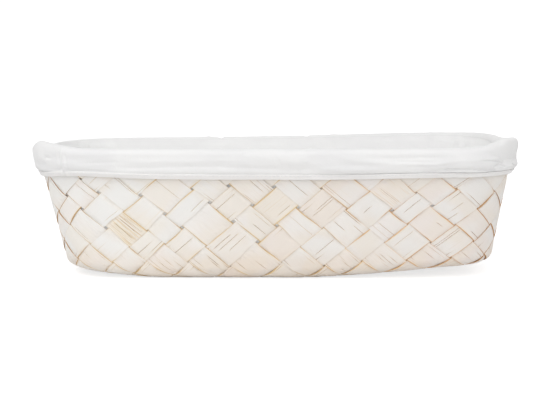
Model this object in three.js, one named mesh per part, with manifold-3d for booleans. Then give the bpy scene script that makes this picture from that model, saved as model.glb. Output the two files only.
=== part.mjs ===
// A long, low tray plaited from flat bamboo slats, with a loose cotton lining
// that is folded over the rim as a cuff. Millimetres, +Z up, the long sides
// along X, the photographed side towards -Y, the underside at Z = 0.

import * as THREE from 'three';
import { mergeVertices } from 'three/addons/utils/BufferGeometryUtils.js';
import Module from 'manifold-3d';

const wasm = await Module();
wasm.setup();

// Tray sizes. The base is measured to the corners where floor and wall would
// meet if the bend between them were sharp.
const baseLength = 352;
const baseWidth = 134;
const wallHeight = 103;
const wallSpread = 21;
const baseCornerRadius = 38;
const rimCornerRadius = 56;
const foldRadius = 13;
const sideBow = 5;

// Plait sizes. The widths are those of the slats in turn, as cut, and are
// eased a little so that they fill the base.
const slatsAlong = 10;
const slatsAcross = 4;
const rightSlatWidths = [24, 18, 25, 27, 28, 28, 20, 29, 26, 23, 24, 23, 23, 25];
const leftSlatWidths = [29, 25, 18, 25, 26, 24, 24, 24, 22, 33, 22, 24, 25, 24];
const slatThickness = 0.8;
const crossingGap = 0.3;
const slatGapAtBase = 2.2;
const slatGapAtRim = 3.8;
const plaitRise = 0.89;
const plaitCreep = 14;
const plaitSink = 5.7;
const creepFrom = -30;
const creepTo = 15;
const rimTrim = 0.5;

// Steps round each half of a corner, for the hoops and the lining
const cornerSteps = 5;

// Rim sizes
const hoopHeight = 16;
const hoopThickness = 2.2;
const outerHoopGap = 0.45;
const innerHoopGap = 1.15;
const hoopStraightSteps = 4;
const pegRadius = 1.1;
const pegSides = 8;
const pegClearance = 0.3;
const pegRecess = 0.3;
const pegsAlong = 3;
const pegsAcross = 2;

// Lining sizes
const clothThickness = 1.2;
const clothGap = 0.3;
const crestRadius = 1.25;
const seamGap = 0.3;
const wallClothGap = 1.4;
const bendClothGap = 3.2;
const floorClothInset = 22;
const hoopEaseGap = 1;
const easeShare = 0.8;
const clothStraightSteps = 4;
const cuffStraightSteps = 9;
const cuffDrop = 21;
const hemWidth = 4;
const hemThickness = 1.8;
const cuffSag = 1.6;
const cuffFoldDepth = 1.3;
const cuffFoldCount = 11;

// Sizes that follow from these
const wallLean = Math.atan2(wallSpread, wallHeight);
const wallSlant = Math.hypot(wallSpread, wallHeight);
const foldTurn = Math.PI / 2 - wallLean;
const foldReach = foldRadius * Math.tan(foldTurn / 2);
const sideLengths = [baseLength, baseWidth, baseLength, baseWidth];
const sideStarts = [0, baseLength, baseLength + baseWidth, 2 * baseLength + baseWidth];
const wayRound = 2 * (baseLength + baseWidth);
const foldNodes = 2 * (slatsAlong + slatsAcross);
const crossingOffset = (slatThickness + crossingGap) / 2;
const plaitHalf = crossingOffset + slatThickness / 2;
const tiny = 1e-6;

// Materials

function paleBamboo() {
  return new THREE.MeshStandardMaterial({ color: 0xece3d6, roughness: 0.72, metalness: 0 });
}

function plainBamboo() {
  return new THREE.MeshStandardMaterial({ color: 0xd8bd8c, roughness: 0.65, metalness: 0 });
}

function whiteCotton() {
  return new THREE.MeshStandardMaterial({ color: 0xeeeeec, roughness: 0.9, metalness: 0 });
}

// The tray's middle surface.
// "Way" is the distance up the wall from the base edge; below zero it is the
// distance in over the floor. "Round" is the distance round the base edge from
// its front left corner, first along the front.

function profile(way) {
  if (way <= -foldReach) {
    return { out: way, up: 0 };
  }
  if (way >= foldReach) {
    return { out: way * Math.sin(wallLean), up: way * Math.cos(wallLean) };
  }
  const turn = foldTurn * (way + foldReach) / (2 * foldReach);
  return {
    out: foldRadius * Math.sin(turn) - foldReach,
    up: foldRadius * (1 - Math.cos(turn)),
  };
}

function cornerRadius(way) {
  if (way >= 0) {
    return baseCornerRadius + (rimCornerRadius - baseCornerRadius) * way / wallSlant;
  }
  return baseCornerRadius * Math.max(0, 1 + 2 * way / baseWidth);
}

// One point of the ring at a given way, a share of the way along one side.
// A side takes in half of the round corner at each of its ends.
function ringPoint(side, share, way) {
  const { out, up } = profile(way);
  const longSide = side % 2 === 0;
  const halfAlong = (longSide ? baseLength : baseWidth) / 2 + out;
  const halfAcross = (longSide ? baseWidth : baseLength) / 2 + out;
  const radius = Math.max(Math.min(cornerRadius(way), halfAlong, halfAcross), tiny);
  const halfArc = radius * Math.PI / 4;
  const straight = 2 * (halfAlong - radius);
  const travelled = share * (straight + 2 * halfArc);
  let along = travelled - halfArc - straight / 2;
  let across = -halfAcross;
  if (travelled < halfArc) {
    const turn = Math.PI / 4 - travelled / radius;
    along = radius - halfAlong - radius * Math.sin(turn);
    across = radius - halfAcross - radius * Math.cos(turn);
  } else if (travelled > halfArc + straight) {
    const turn = (travelled - halfArc - straight) / radius;
    along = halfAlong - radius + radius * Math.sin(turn);
    across = radius - halfAcross - radius * Math.cos(turn);
  }
  const point = new THREE.Vector2(along, across).rotateAround(new THREE.Vector2(), side * Math.PI / 2);
  const bowLength = baseLength / 2 + Math.max(out, 0);
  const bowWidth = baseWidth / 2 + Math.max(out, 0);
  point.y += sideBow * (1 - (point.x / bowLength) ** 2) * point.y / bowWidth;
  return new THREE.Vector3(point.x, point.y, up + plaitHalf);
}

function sideAt(round) {
  const wrapped = (round % wayRound + wayRound) % wayRound;
  const side = sideStarts.findLastIndex((start) => wrapped >= start);
  return { side, along: wrapped - sideStarts[side] };
}

function surfacePoint(round, way) {
  const { side, along } = sideAt(round);
  return ringPoint(side, along / sideLengths[side], way);
}

// A point's place, with the direction there that points out of the tray
function placeAt(pointAt, first, second) {
  const reach = 0.5;
  const alongFirst = pointAt(first + reach, second).sub(pointAt(first - reach, second));
  const alongSecond = pointAt(first, second + reach).sub(pointAt(first, second - reach));
  const normal = alongFirst.cross(alongSecond).normalize();
  return { point: pointAt(first, second), normal };
}

function surfaceAt(round, way) {
  return placeAt(surfacePoint, round, way);
}

function offsetPoint(place, offset) {
  return place.point.clone().addScaledVector(place.normal, offset);
}

// Closed meshes

function meshFrom(points, triangles, material) {
  const geometry = new THREE.BufferGeometry();
  const positions = points.flatMap((point) => [point.x, point.y, point.z]);
  geometry.setAttribute('position', new THREE.Float32BufferAttribute(positions, 3));
  geometry.setIndex(facingOut(points, triangles).flat());
  return new THREE.Mesh(geometry, material);
}

function facingOut(points, triangles) {
  const volume = triangles.reduce(
    (sum, [a, b, c]) => sum + points[a].dot(points[b].clone().cross(points[c])),
    0,
  );
  return volume > 0 ? triangles : triangles.map(([a, b, c]) => [a, c, b]);
}

function named(name, mesh) {
  mesh.name = name;
  return mesh;
}

function toSolid(geometry) {
  const bare = geometry.clone();
  bare.deleteAttribute('normal');
  bare.deleteAttribute('uv');
  const merged = mergeVertices(bare, 1e-4);
  return new wasm.Manifold(new wasm.Mesh({
    numProp: 3,
    vertProperties: new Float32Array(merged.attributes.position.array),
    triVerts: new Uint32Array(merged.index.array),
  }));
}

function fromSolid(solid) {
  const { vertProperties, triVerts } = solid.getMesh();
  const geometry = new THREE.BufferGeometry();
  geometry.setAttribute('position', new THREE.BufferAttribute(vertProperties, 3));
  geometry.setIndex(new THREE.BufferAttribute(triVerts, 1));
  return geometry;
}

// A ring swept through sections that each hold the same number of points
function sweepRing(sections, material) {
  const count = sections[0].length;
  const triangles = [];
  sections.forEach((_, i) => {
    const here = i * count;
    const next = ((i + 1) % sections.length) * count;
    for (let j = 0; j < count; j += 1) {
      const k = (j + 1) % count;
      triangles.push([here + j, here + k, next + k], [here + j, next + k, next + j]);
    }
  });
  return meshFrom(sections.flat(), triangles, material);
}

// The plait.
// Lines that lean right and lines that lean left, as seen from outside, bound
// the slats. They cross the base edge at these distances round it. The slats
// that run along X + Y over the floor are the "sum" slats, and the others,
// along X - Y, the "difference" slats.

function runningTotals(start, groups) {
  const totals = [start];
  groups.forEach(({ widths, total }) => {
    const sum = widths.reduce((a, b) => a + b, 0);
    widths.forEach((width) => totals.push(totals.at(-1) + width * total / sum));
  });
  return totals;
}

function take(widths, start, count) {
  return Array.from({ length: count }, (_, i) => widths[(start + i) % widths.length]);
}

const spare = slatsAlong - slatsAcross;
const sumLines = runningTotals(0, [
  { widths: take(rightSlatWidths, 0, slatsAcross), total: baseWidth },
  { widths: take(rightSlatWidths, slatsAcross, spare), total: baseLength - baseWidth },
  { widths: take(rightSlatWidths, slatsAlong, slatsAcross), total: baseWidth },
]);
const differenceLines = runningTotals(-baseWidth, [
  { widths: take(leftSlatWidths, 0, slatsAcross), total: baseWidth },
  { widths: take(leftSlatWidths, slatsAcross, spare), total: baseLength - baseWidth },
  { widths: take(leftSlatWidths, slatsAlong, slatsAcross), total: baseWidth },
]);

function sumLine(i) {
  return sumLines[i];
}

function differenceLine(j) {
  return differenceLines[j + slatsAcross];
}

// A line's place round the base edge, from its number, which counts on round
// the tray without end
function onFold(index, placesBySide) {
  const k = (index % foldNodes + foldNodes) % foldNodes;
  const turns = (index - k) / foldNodes;
  const sideEnds = [slatsAlong, slatsAlong + slatsAcross, 2 * slatsAlong + slatsAcross, foldNodes];
  const side = sideEnds.findIndex((end) => k < end);
  return placesBySide[side](k) + turns * wayRound;
}

function rightLine(index) {
  return onFold(index, [
    (k) => sumLine(k),
    (k) => 2 * baseLength - differenceLine(2 * slatsAlong - k),
    (k) => wayRound - sumLine(foldNodes - k),
    (k) => wayRound + differenceLine(k - foldNodes),
  ]);
}

function leftLine(index) {
  return onFold(index, [
    (k) => differenceLine(k),
    (k) => sumLine(k),
    (k) => 2 * baseLength - differenceLine(2 * slatsAlong - k),
    (k) => wayRound - sumLine(foldNodes - k),
  ]);
}

// The slats keep their width while the walls fan out, so the gaps widen
function slatInset(rise) {
  const share = THREE.MathUtils.clamp(rise / wallSlant, 0, 1);
  return (slatGapAtBase + (slatGapAtRim - slatGapAtBase) * share) / Math.SQRT2;
}

// The plait lies on the surface as an unfolded net does: a square net over the
// floor, from the unrounded base's front left corner, and round the walls a
// strip, drawn in a little upwards as the slats are beaten down. Bending up the
// walls also made it creep round them and sink a little.

function creptPoint(round, way) {
  const share = THREE.MathUtils.smoothstep(way, creepFrom, creepTo);
  return surfacePoint(round - plaitCreep * share, way - plaitSink * share);
}

function netRise(x, y) {
  return -Math.min(y, baseLength - x, baseWidth - y, x) * plaitRise;
}

function floorNetPoint(x, y) {
  const insets = [y, baseLength - x, baseWidth - y, x];
  const inset = Math.min(...insets);
  const side = insets.indexOf(inset);
  const alongs = [x, y, baseLength - x, baseWidth - y];
  const trim = Math.max(inset, 0);
  const length = Math.max(sideLengths[side] - 2 * trim, tiny);
  const share = (alongs[side] - trim) / length;
  return creptPoint(sideStarts[side] + share * sideLengths[side], inset > 0 ? -inset : netRise(x, y));
}

function wallNetPoint(round, rise) {
  if (rise > 0) {
    return creptPoint(round, rise * plaitRise);
  }
  const { side, along } = sideAt(round);
  const corners = [
    [along, -rise],
    [baseLength + rise, along],
    [baseLength - along, baseWidth + rise],
    [-rise, baseWidth - along],
  ];
  return floorNetPoint(...corners[side]);
}

function wallPlace(right, left) {
  return placeAt(wallNetPoint, (right + left) / 2, (left - right) / 2);
}

function floorPlace(sum, difference) {
  const { point, normal } = placeAt(floorNetPoint, (sum + difference) / 2, (sum - difference) / 2);
  return { point, normal: normal.negate() };
}

// Where a slat's two edges pass one crossing line on a wall, on the floor's
// side of that line and beyond it
function wallCrossing(end, level) {
  const edges = end.leansRight
    ? [rightLine(end.fold), rightLine(end.fold + 1)]
    : [leftLine(end.fold), leftLine(end.fold + 1)];
  const line = end.leansRight ? leftLine(end.fold + level) : rightLine(end.fold + 1 - level);
  const upward = end.leansRight ? 1 : -1;
  const corner = (edge, inward, beyond) => {
    const inset = slatInset(upward * (line - edge) / 2 * plaitRise);
    const own = edge + inward * inset;
    const cross = line + beyond * upward * inset;
    return end.leansRight ? wallPlace(own, cross) : wallPlace(cross, own);
  };
  const rows = [-1, 1].map((beyond) => [corner(edges[0], 1, beyond), corner(edges[1], -1, beyond)]);
  const ordered = end.isLast ? rows.map(([a, b]) => [b, a]) : rows;
  const middle = { own: (edges[0] + edges[1]) / 2, cross: line };
  return { near: ordered[0], beyond: ordered[1], middle };
}

function floorCrossing(slat, line) {
  const corner = (edge, inward, beyond) => {
    const [sum, difference] = slat.isSum ? [edge, line] : [line, edge];
    const inset = slatInset(netRise((sum + difference) / 2, (sum - difference) / 2));
    const own = edge + inward * inset;
    const cross = line + beyond * inset;
    return slat.isSum ? floorPlace(own, cross) : floorPlace(cross, own);
  };
  const [low, high] = slat.edges;
  return {
    above: [corner(low, 1, 1), corner(high, -1, 1)],
    below: [corner(low, 1, -1), corner(high, -1, -1)],
    middle: { own: (low + high) / 2, cross: line },
  };
}

// The slats' ends and the crossing lines that they pass on the floor
function sumSlat(i) {
  const from = i < slatsAlong ? i : 2 * slatsAlong - 1 - i;
  const to = i < slatsAcross ? -i : i - 2 * slatsAcross + 1;
  return {
    isSum: true,
    edges: [sumLine(i), sumLine(i + 1)],
    first: { fold: i, leansRight: i < slatsAlong, isLast: false },
    last: { fold: foldNodes - 1 - i, leansRight: i >= slatsAcross, isLast: true },
    crossings: countBetween(from, to).map((index) => differenceLine(index)),
    descending: true,
  };
}

function differenceSlat(j) {
  const from = j >= 0 ? j + 1 : -j;
  const to = j < spare ? j + 2 * slatsAcross : 2 * slatsAlong - 1 - j;
  return {
    isSum: false,
    edges: [differenceLine(j), differenceLine(j + 1)],
    first: { fold: j >= 0 ? j : foldNodes + j, leansRight: j < 0, isLast: false },
    last: { fold: 2 * slatsAlong - 1 - j, leansRight: j >= spare, isLast: true },
    crossings: countBetween(from, to).map((index) => sumLine(index)),
    descending: false,
  };
}

function countBetween(from, to) {
  const step = Math.sign(to - from) || 1;
  return Array.from({ length: Math.abs(to - from) + 1 }, (_, i) => from + i * step);
}

// The cells that a slat passes from its first end to its last. In each one it
// lies outside or inside the slat that it crosses, in turn.
function slatCells(slat) {
  const levels = Math.ceil(wallSlant / plaitRise / (baseLength / slatsAlong / 2)) + 1;
  const cells = [];
  const climb = (end) => countBetween(1, levels).map((level) => wallCrossing(end, level));
  const firstClimb = climb(slat.first);
  const lastClimb = climb(slat.last);
  const floorRows = slat.crossings.map((line) => {
    const { above, below, middle } = floorCrossing(slat, line);
    return slat.descending ? { start: above, end: below, middle } : { start: below, end: above, middle };
  });
  const wallCentre = (end, lower, upper) => {
    const cross = (lower.middle.cross + upper.middle.cross) / 2;
    const own = upper.middle.own;
    return end.leansRight ? wallPlace(own, cross) : wallPlace(cross, own);
  };
  const foldCentre = (end) => {
    const middle = (line) => (line(end.fold) + line(end.fold + 1)) / 2;
    return wallPlace(middle(rightLine), middle(leftLine));
  };
  const isOutside = (end, level) => (level % 2 === 0) === end.leansRight;
  for (let level = levels - 1; level >= 1; level -= 1) {
    const upper = firstClimb[level];
    const lower = firstClimb[level - 1];
    cells.push({
      start: upper.near,
      end: lower.beyond,
      centre: wallCentre(slat.first, lower, upper),
      outside: isOutside(slat.first, level),
    });
  }
  cells.push({
    start: firstClimb[0].near,
    end: floorRows[0].start,
    centre: foldCentre(slat.first),
    outside: isOutside(slat.first, 0),
  });
  for (let i = 1; i < floorRows.length; i += 1) {
    const own = floorRows[i].middle.own;
    const cross = (floorRows[i - 1].middle.cross + floorRows[i].middle.cross) / 2;
    cells.push({
      start: floorRows[i - 1].end,
      end: floorRows[i].start,
      centre: slat.isSum ? floorPlace(own, cross) : floorPlace(cross, own),
      outside: !cells.at(-1).outside,
    });
  }
  cells.push({
    start: floorRows.at(-1).end,
    end: lastClimb[0].near,
    centre: foldCentre(slat.last),
    outside: isOutside(slat.last, 0),
  });
  for (let level = 1; level < levels; level += 1) {
    const upper = lastClimb[level];
    const lower = lastClimb[level - 1];
    cells.push({
      start: lower.beyond,
      end: upper.near,
      centre: wallCentre(slat.last, lower, upper),
      outside: isOutside(slat.last, level),
    });
  }
  return cells;
}

// How a cell's patch is split, the same for both of the slats that cross in it:
// round a middle point where the surface bends, otherwise along the diagonal
// that stands further out
function cellSplit(cell) {
  const bendLimit = 0.25;
  const [a, b] = cell.start.map((place) => place.point);
  const [c, d] = cell.end.map((place) => place.point);
  const { point, normal } = cell.centre;
  const falling = a.clone().add(d).multiplyScalar(0.5);
  const rising = b.clone().add(c).multiplyScalar(0.5);
  const bend = Math.max(point.distanceTo(falling), point.distanceTo(rising));
  if (bend > bendLimit) {
    return 'middle';
  }
  return falling.sub(rising).dot(normal) > 0 ? 'falling' : 'rising';
}

function slatMesh(slat) {
  const points = [];
  const triangles = [];
  const addPlace = (place, offset) => {
    points.push(offsetPoint(place, offset - slatThickness / 2));
    points.push(offsetPoint(place, offset + slatThickness / 2));
    return points.length - 2;
  };
  const addFace = (a, b, c) => {
    triangles.push([a, b, c], [a + 1, c + 1, b + 1]);
  };
  const addEdge = (a, b) => {
    triangles.push([a, b + 1, b], [a, a + 1, b + 1]);
  };
  const addPatch = (start, end, split, middle) => {
    const [a, b] = start;
    const [c, d] = end;
    if (split === 'middle') {
      addFace(a, middle, b);
      addFace(b, middle, d);
      addFace(d, middle, c);
      addFace(c, middle, a);
    } else if (split === 'falling') {
      addFace(a, d, b);
      addFace(a, c, d);
    } else {
      addFace(a, c, b);
      addFace(b, c, d);
    }
    addEdge(a, c);
    addEdge(d, b);
  };
  let previous = null;
  slatCells(slat).forEach((cell) => {
    const offset = cell.outside ? crossingOffset : -crossingOffset;
    const start = cell.start.map((place) => addPlace(place, offset));
    const end = cell.end.map((place) => addPlace(place, offset));
    const split = cellSplit(cell);
    const middle = split === 'middle' ? addPlace(cell.centre, offset) : null;
    if (previous) {
      addPatch(previous, start, 'falling', null);
    } else {
      addEdge(start[1], start[0]);
    }
    addPatch(start, end, split, middle);
    previous = end;
  });
  addEdge(previous[0], previous[1]);
  const mesh = meshFrom(points, triangles, paleBamboo());
  mesh.geometry = fromSolid(pegHoled(toSolid(mesh.geometry).subtract(aboveRim)));
  return mesh;
}

// Everything above the level where the slats are trimmed flush with the hoops
function trimBlock() {
  const height = wallHeight;
  const level = wallHeight + plaitHalf - rimTrim;
  const margin = 4 * wallSpread;
  const block = new THREE.BoxGeometry(baseLength + margin, baseWidth + margin, height);
  block.translate(0, 0, level + height / 2);
  return toSolid(block);
}

const aboveRim = trimBlock();

// Distances round the base edge, close together in the corners
function arcShareOf(side, way) {
  const radius = cornerRadius(way);
  const halfArc = radius * Math.PI / 4;
  const straight = sideLengths[side] + 2 * profile(way).out - 2 * radius;
  return halfArc / (straight + 2 * halfArc);
}

function roundStops(way, straightSteps) {
  const stops = sideStarts.flatMap((start, side) => {
    const arcShare = arcShareOf(side, way);
    const steps = side % 2 === 0 ? straightSteps : Math.ceil(straightSteps / 2);
    const shares = [];
    for (let i = 0; i < cornerSteps; i += 1) {
      shares.push(arcShare * i / cornerSteps);
    }
    for (let i = 0; i < steps; i += 1) {
      shares.push(arcShare + (1 - 2 * arcShare) * i / steps);
    }
    for (let i = 0; i < cornerSteps; i += 1) {
      shares.push(1 - arcShare + arcShare * i / cornerSteps);
    }
    return shares.map((share) => start + share * sideLengths[side]);
  });
  return stops;
}

// Rim hoops and pegs. The pegs go through both hoops and the slats between
// them, evenly along the straight part of each side.

const outerHoopInside = plaitHalf + outerHoopGap;
const outerHoopOutside = outerHoopInside + hoopThickness;
const innerHoopOutside = -plaitHalf - innerHoopGap;
const innerHoopInside = innerHoopOutside - hoopThickness;

function pegPlaces() {
  const way = wallSlant - hoopHeight / 2;
  return sideStarts.flatMap((start, side) => {
    const arcShare = arcShareOf(side, way);
    const count = side % 2 === 0 ? pegsAlong : pegsAcross;
    return countBetween(1, count).map((i) => {
      const share = arcShare + (1 - 2 * arcShare) * (i - 1 / 2) / count;
      return surfaceAt(start + share * sideLengths[side], way);
    });
  });
}

function alongNormal(geometry, place, offset) {
  const turn = new THREE.Quaternion().setFromUnitVectors(new THREE.Vector3(0, 1, 0), place.normal);
  geometry.applyQuaternion(turn);
  const middle = offsetPoint(place, offset);
  return geometry.translate(middle.x, middle.y, middle.z);
}

function peg(place, radius, endGap) {
  const length = outerHoopOutside - innerHoopInside + 2 * endGap;
  const cylinder = new THREE.CylinderGeometry(radius, radius, length, pegSides);
  return alongNormal(cylinder, place, (outerHoopOutside + innerHoopInside) / 2);
}

const pegHoles = pegPlaces().map((place) => toSolid(peg(place, pegRadius + pegClearance, hoopThickness)));

function pegHoled(solid) {
  return pegHoles.reduce((rest, hole) => rest.subtract(hole), solid);
}

function hoop(inside, outside) {
  const low = wallSlant - hoopHeight;
  const sections = roundStops(wallSlant, hoopStraightSteps).map((round) => [
    offsetPoint(surfaceAt(round, low), inside),
    offsetPoint(surfaceAt(round, low), outside),
    offsetPoint(surfaceAt(round, wallSlant), outside),
    offsetPoint(surfaceAt(round, wallSlant), inside),
  ]);
  const mesh = sweepRing(sections, plainBamboo());
  mesh.geometry = fromSolid(pegHoled(toSolid(mesh.geometry)));
  return mesh;
}

// Lining.
// "Depth" is how far inside the plait's middle surface the cloth's middle lies.

const clothHalf = clothThickness / 2;
const hoopClothDepth = crestRadius - innerHoopInside;
const wallClothDepth = plaitHalf + wallClothGap + clothHalf;
const bendClothDepth = plaitHalf + bendClothGap + clothHalf;
const floorClothDepth = plaitHalf + clothGap + clothHalf;
const liningTop = wallSlant - seamGap;

function liningFloor() {
  const stops = roundStops(-floorClothInset, clothStraightSteps);
  const edge = stops.map((round) => surfacePoint(round, -floorClothInset));
  const level = plaitHalf + floorClothDepth;
  const count = edge.length;
  const points = edge.flatMap((point) => [
    new THREE.Vector3(point.x, point.y, level - clothHalf),
    new THREE.Vector3(point.x, point.y, level + clothHalf),
  ]);
  points.push(new THREE.Vector3(0, 0, level - clothHalf), new THREE.Vector3(0, 0, level + clothHalf));
  const triangles = [];
  for (let i = 0; i < count; i += 1) {
    const here = 2 * i;
    const next = 2 * ((i + 1) % count);
    triangles.push([here, here + 1, next + 1], [here, next + 1, next]);
    triangles.push([here, next, 2 * count], [here + 1, 2 * count + 1, next + 1]);
  }
  return meshFrom(points, triangles, whiteCotton());
}

// Stops up the wall, each with the cloth's depth there. Below the inner hoop
// the cloth leans in to pass it, at less than the wall's own lean, so that the
// lining lifts out freely.
function wallClothStops() {
  const hoopFoot = wallSlant - hoopHeight - hoopEaseGap;
  const lean = easeShare * wallSpread / wallSlant;
  const ease = (hoopClothDepth - wallClothDepth) / lean;
  return [
    { way: -floorClothInset + seamGap + clothHalf, depth: floorClothDepth },
    { way: -foldReach, depth: bendClothDepth },
    { way: 0, depth: bendClothDepth },
    { way: foldReach, depth: bendClothDepth },
    { way: 2 * foldReach, depth: wallClothDepth },
    { way: hoopFoot - ease, depth: wallClothDepth },
    { way: hoopFoot, depth: hoopClothDepth },
    { way: liningTop, depth: hoopClothDepth },
  ];
}

// The two long panels end where the round corners start, and the end panels
// take in the corners
function panelEnds(side) {
  const cornerReach = arcShareOf(0, wallSlant / 2) * baseLength;
  const inward = side % 2 === 0 ? cornerReach : -cornerReach;
  return [sideStarts[side] + inward, sideStarts[side] + sideLengths[side] - inward];
}

function liningWall(side) {
  const stops = wallClothStops();
  const [start, end] = panelEnds(side);
  const oneTurn = roundStops(wallSlant / 2, clothStraightSteps);
  const stopsRound = [...oneTurn, ...oneTurn.map((round) => round + wayRound)];
  const inner = stopsRound.filter((round) => round > start + seamGap && round < end - seamGap);
  const columns = [start + seamGap, ...inner, end - seamGap].map((round) => {
    const places = stops.map(({ way, depth }) => ({ place: surfaceAt(round, way), depth }));
    return [
      places.map(({ place, depth }) => offsetPoint(place, clothHalf - depth)),
      places.map(({ place, depth }) => offsetPoint(place, -clothHalf - depth)),
    ];
  });
  return sheetMesh(columns);
}

// A sheet with two faces, from columns that each hold an outer and an inner row
function sheetMesh(columns) {
  const rows = columns[0][0].length;
  const points = columns.flatMap(([outer, face]) => [...outer, ...face]);
  const outerAt = (i, j) => i * 2 * rows + j;
  const faceAt = (i, j) => outerAt(i, j) + rows;
  const triangles = [];
  const addQuad = (a, b, c, d) => triangles.push([a, b, c], [a, c, d]);
  const last = columns.length - 1;
  for (let i = 0; i < last; i += 1) {
    for (let j = 0; j < rows - 1; j += 1) {
      addQuad(outerAt(i, j), outerAt(i + 1, j), outerAt(i + 1, j + 1), outerAt(i, j + 1));
      addQuad(faceAt(i, j), faceAt(i, j + 1), faceAt(i + 1, j + 1), faceAt(i + 1, j));
    }
    addQuad(outerAt(i, 0), faceAt(i, 0), faceAt(i + 1, 0), outerAt(i + 1, 0));
    addQuad(outerAt(i, rows - 1), outerAt(i + 1, rows - 1), faceAt(i + 1, rows - 1), faceAt(i, rows - 1));
  }
  for (let j = 0; j < rows - 1; j += 1) {
    addQuad(outerAt(0, j), outerAt(0, j + 1), faceAt(0, j + 1), faceAt(0, j));
    addQuad(outerAt(last, j), faceAt(last, j), faceAt(last, j + 1), outerAt(last, j + 1));
  }
  return meshFrom(points, triangles, whiteCotton());
}

// Cuff and hem. Below the hoop the cloth swells out in shallow folds, and its
// lower edge sags a little between the corners.

const cuffDepth = outerHoopOutside + crestRadius;

function foldSwell(round) {
  const wave = Math.sin(2 * Math.PI * cuffFoldCount * round / wayRound);
  return cuffFoldDepth * (0.5 + 0.5 * wave);
}

function hemLevel(round) {
  const { side, along } = sideAt(round);
  const share = along / sideLengths[side];
  return wallSlant - cuffDrop - cuffSag * Math.sin(Math.PI * share) ** 2 + cuffSag;
}

const cuffStops = roundStops(wallSlant, cuffStraightSteps);

function cuff() {
  const turn = crestRadius * Math.SQRT1_2;
  const sections = cuffStops.map((round) => {
    const hemTop = hemLevel(round) + hemWidth + seamGap;
    const swell = foldSwell(round);
    const middle = [
      { way: wallSlant, out: -hoopClothDepth },
      { way: wallSlant + turn, out: innerHoopInside - turn },
      { way: wallSlant + crestRadius, out: innerHoopInside },
      { way: wallSlant + crestRadius, out: outerHoopOutside },
      { way: wallSlant + turn, out: outerHoopOutside + turn },
      { way: wallSlant, out: cuffDepth },
      { way: (hemTop + wallSlant) / 2, out: cuffDepth + swell / 2 },
      { way: hemTop, out: cuffDepth + swell },
    ];
    return clothSection(round, middle, clothHalf);
  });
  return sweepRing(sections, whiteCotton());
}

// A cloth's closed section at one place round the tray: its middle line, given
// by stops, with half its thickness to either side
function clothSection(round, middle, half) {
  const sides = middle.map((stop, i) => {
    const before = middle[Math.max(i - 1, 0)];
    const after = middle[Math.min(i + 1, middle.length - 1)];
    const run = new THREE.Vector2(after.way - before.way, after.out - before.out).normalize();
    return [1, -1].map((sign) => ({
      way: stop.way - sign * half * run.y,
      out: stop.out + sign * half * run.x,
    }));
  });
  const outline = [...sides.map(([one]) => one), ...sides.map(([, other]) => other).reverse()];
  return outline.map(({ way, out }) => offsetPoint(surfaceAt(round, way), out));
}

function hem() {
  const sections = cuffStops.map((round) => {
    const out = cuffDepth + foldSwell(round);
    const level = hemLevel(round);
    return clothSection(round, [{ way: level + hemWidth, out }, { way: level, out }], hemThickness / 2);
  });
  return sweepRing(sections, whiteCotton());
}

// The whole tray

function number(i) {
  return String(i + 1).padStart(2, '0');
}

function basket() {
  const group = new THREE.Group();
  const slatCount = slatsAlong + slatsAcross;
  countBetween(0, slatCount - 1).forEach((i) => {
    group.add(named(`right_slat_${number(i)}`, slatMesh(sumSlat(i))));
    group.add(named(`left_slat_${number(i)}`, slatMesh(differenceSlat(i - slatsAcross))));
  });
  group.add(named('rim_outer_hoop', hoop(outerHoopInside, outerHoopOutside)));
  group.add(named('rim_inner_hoop', hoop(innerHoopInside, innerHoopOutside)));
  pegPlaces().forEach((place, i) => {
    group.add(named(`rim_peg_${number(i)}`, new THREE.Mesh(peg(place, pegRadius, -pegRecess), plainBamboo())));
  });
  return group;
}

function lining() {
  const group = new THREE.Group();
  group.add(named('liner_floor', liningFloor()));
  ['front', 'right', 'back', 'left'].forEach((place, side) => {
    group.add(named(`liner_wall_${place}`, liningWall(side)));
  });
  group.add(named('liner_cuff', cuff()));
  group.add(named('liner_hem', hem()));
  return group;
}

const group = new THREE.Group();
group.add(basket(), lining());

export default group;
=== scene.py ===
# A long, low tray plaited from flat whitewashed bamboo slats, with a loose white
# cotton lining whose top is folded over the rim as a hemmed cuff. Metres, +Z up,
# the photographed long side towards -Y.

import math

import bmesh
import bpy
import numpy as np
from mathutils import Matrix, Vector


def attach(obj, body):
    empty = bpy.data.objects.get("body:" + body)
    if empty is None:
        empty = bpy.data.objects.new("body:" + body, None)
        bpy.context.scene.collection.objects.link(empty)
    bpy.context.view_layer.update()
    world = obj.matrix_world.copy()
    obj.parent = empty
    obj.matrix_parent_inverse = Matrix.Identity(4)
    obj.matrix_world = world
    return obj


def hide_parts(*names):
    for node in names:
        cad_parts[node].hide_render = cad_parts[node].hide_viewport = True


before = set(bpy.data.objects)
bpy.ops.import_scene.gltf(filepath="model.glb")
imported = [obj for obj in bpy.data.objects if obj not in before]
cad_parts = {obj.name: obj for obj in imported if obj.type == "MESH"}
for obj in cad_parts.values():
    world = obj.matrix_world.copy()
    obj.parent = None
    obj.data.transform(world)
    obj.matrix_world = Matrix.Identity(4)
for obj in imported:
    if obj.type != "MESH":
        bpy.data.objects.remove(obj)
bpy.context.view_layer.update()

# The tray's shape. The plait of bamboo slats was woven flat from the middle of
# the floor, then bent up at the base edge into four leaning walls with round
# corners, by hand, so that both ends of the floor stand a little off the table.
MM = 0.001
BASE_LENGTH = 352.0
BASE_WIDTH = 134.0
WALL_HEIGHT = 103.0
WALL_SPREAD = 21.0
BASE_CORNER_RADIUS = 38.0
RIM_CORNER_RADIUS = 56.0
FOLD_RADIUS = 13.0
SIDE_BOW = 5.0
PLAIT_HALF = 0.95
RIGHT_END_LIFT, RIGHT_LIFT_FROM, RIGHT_LIFT_REACH, RIGHT_LIFT_CURVE = 8.6, 15, 125, 1.6
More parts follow.
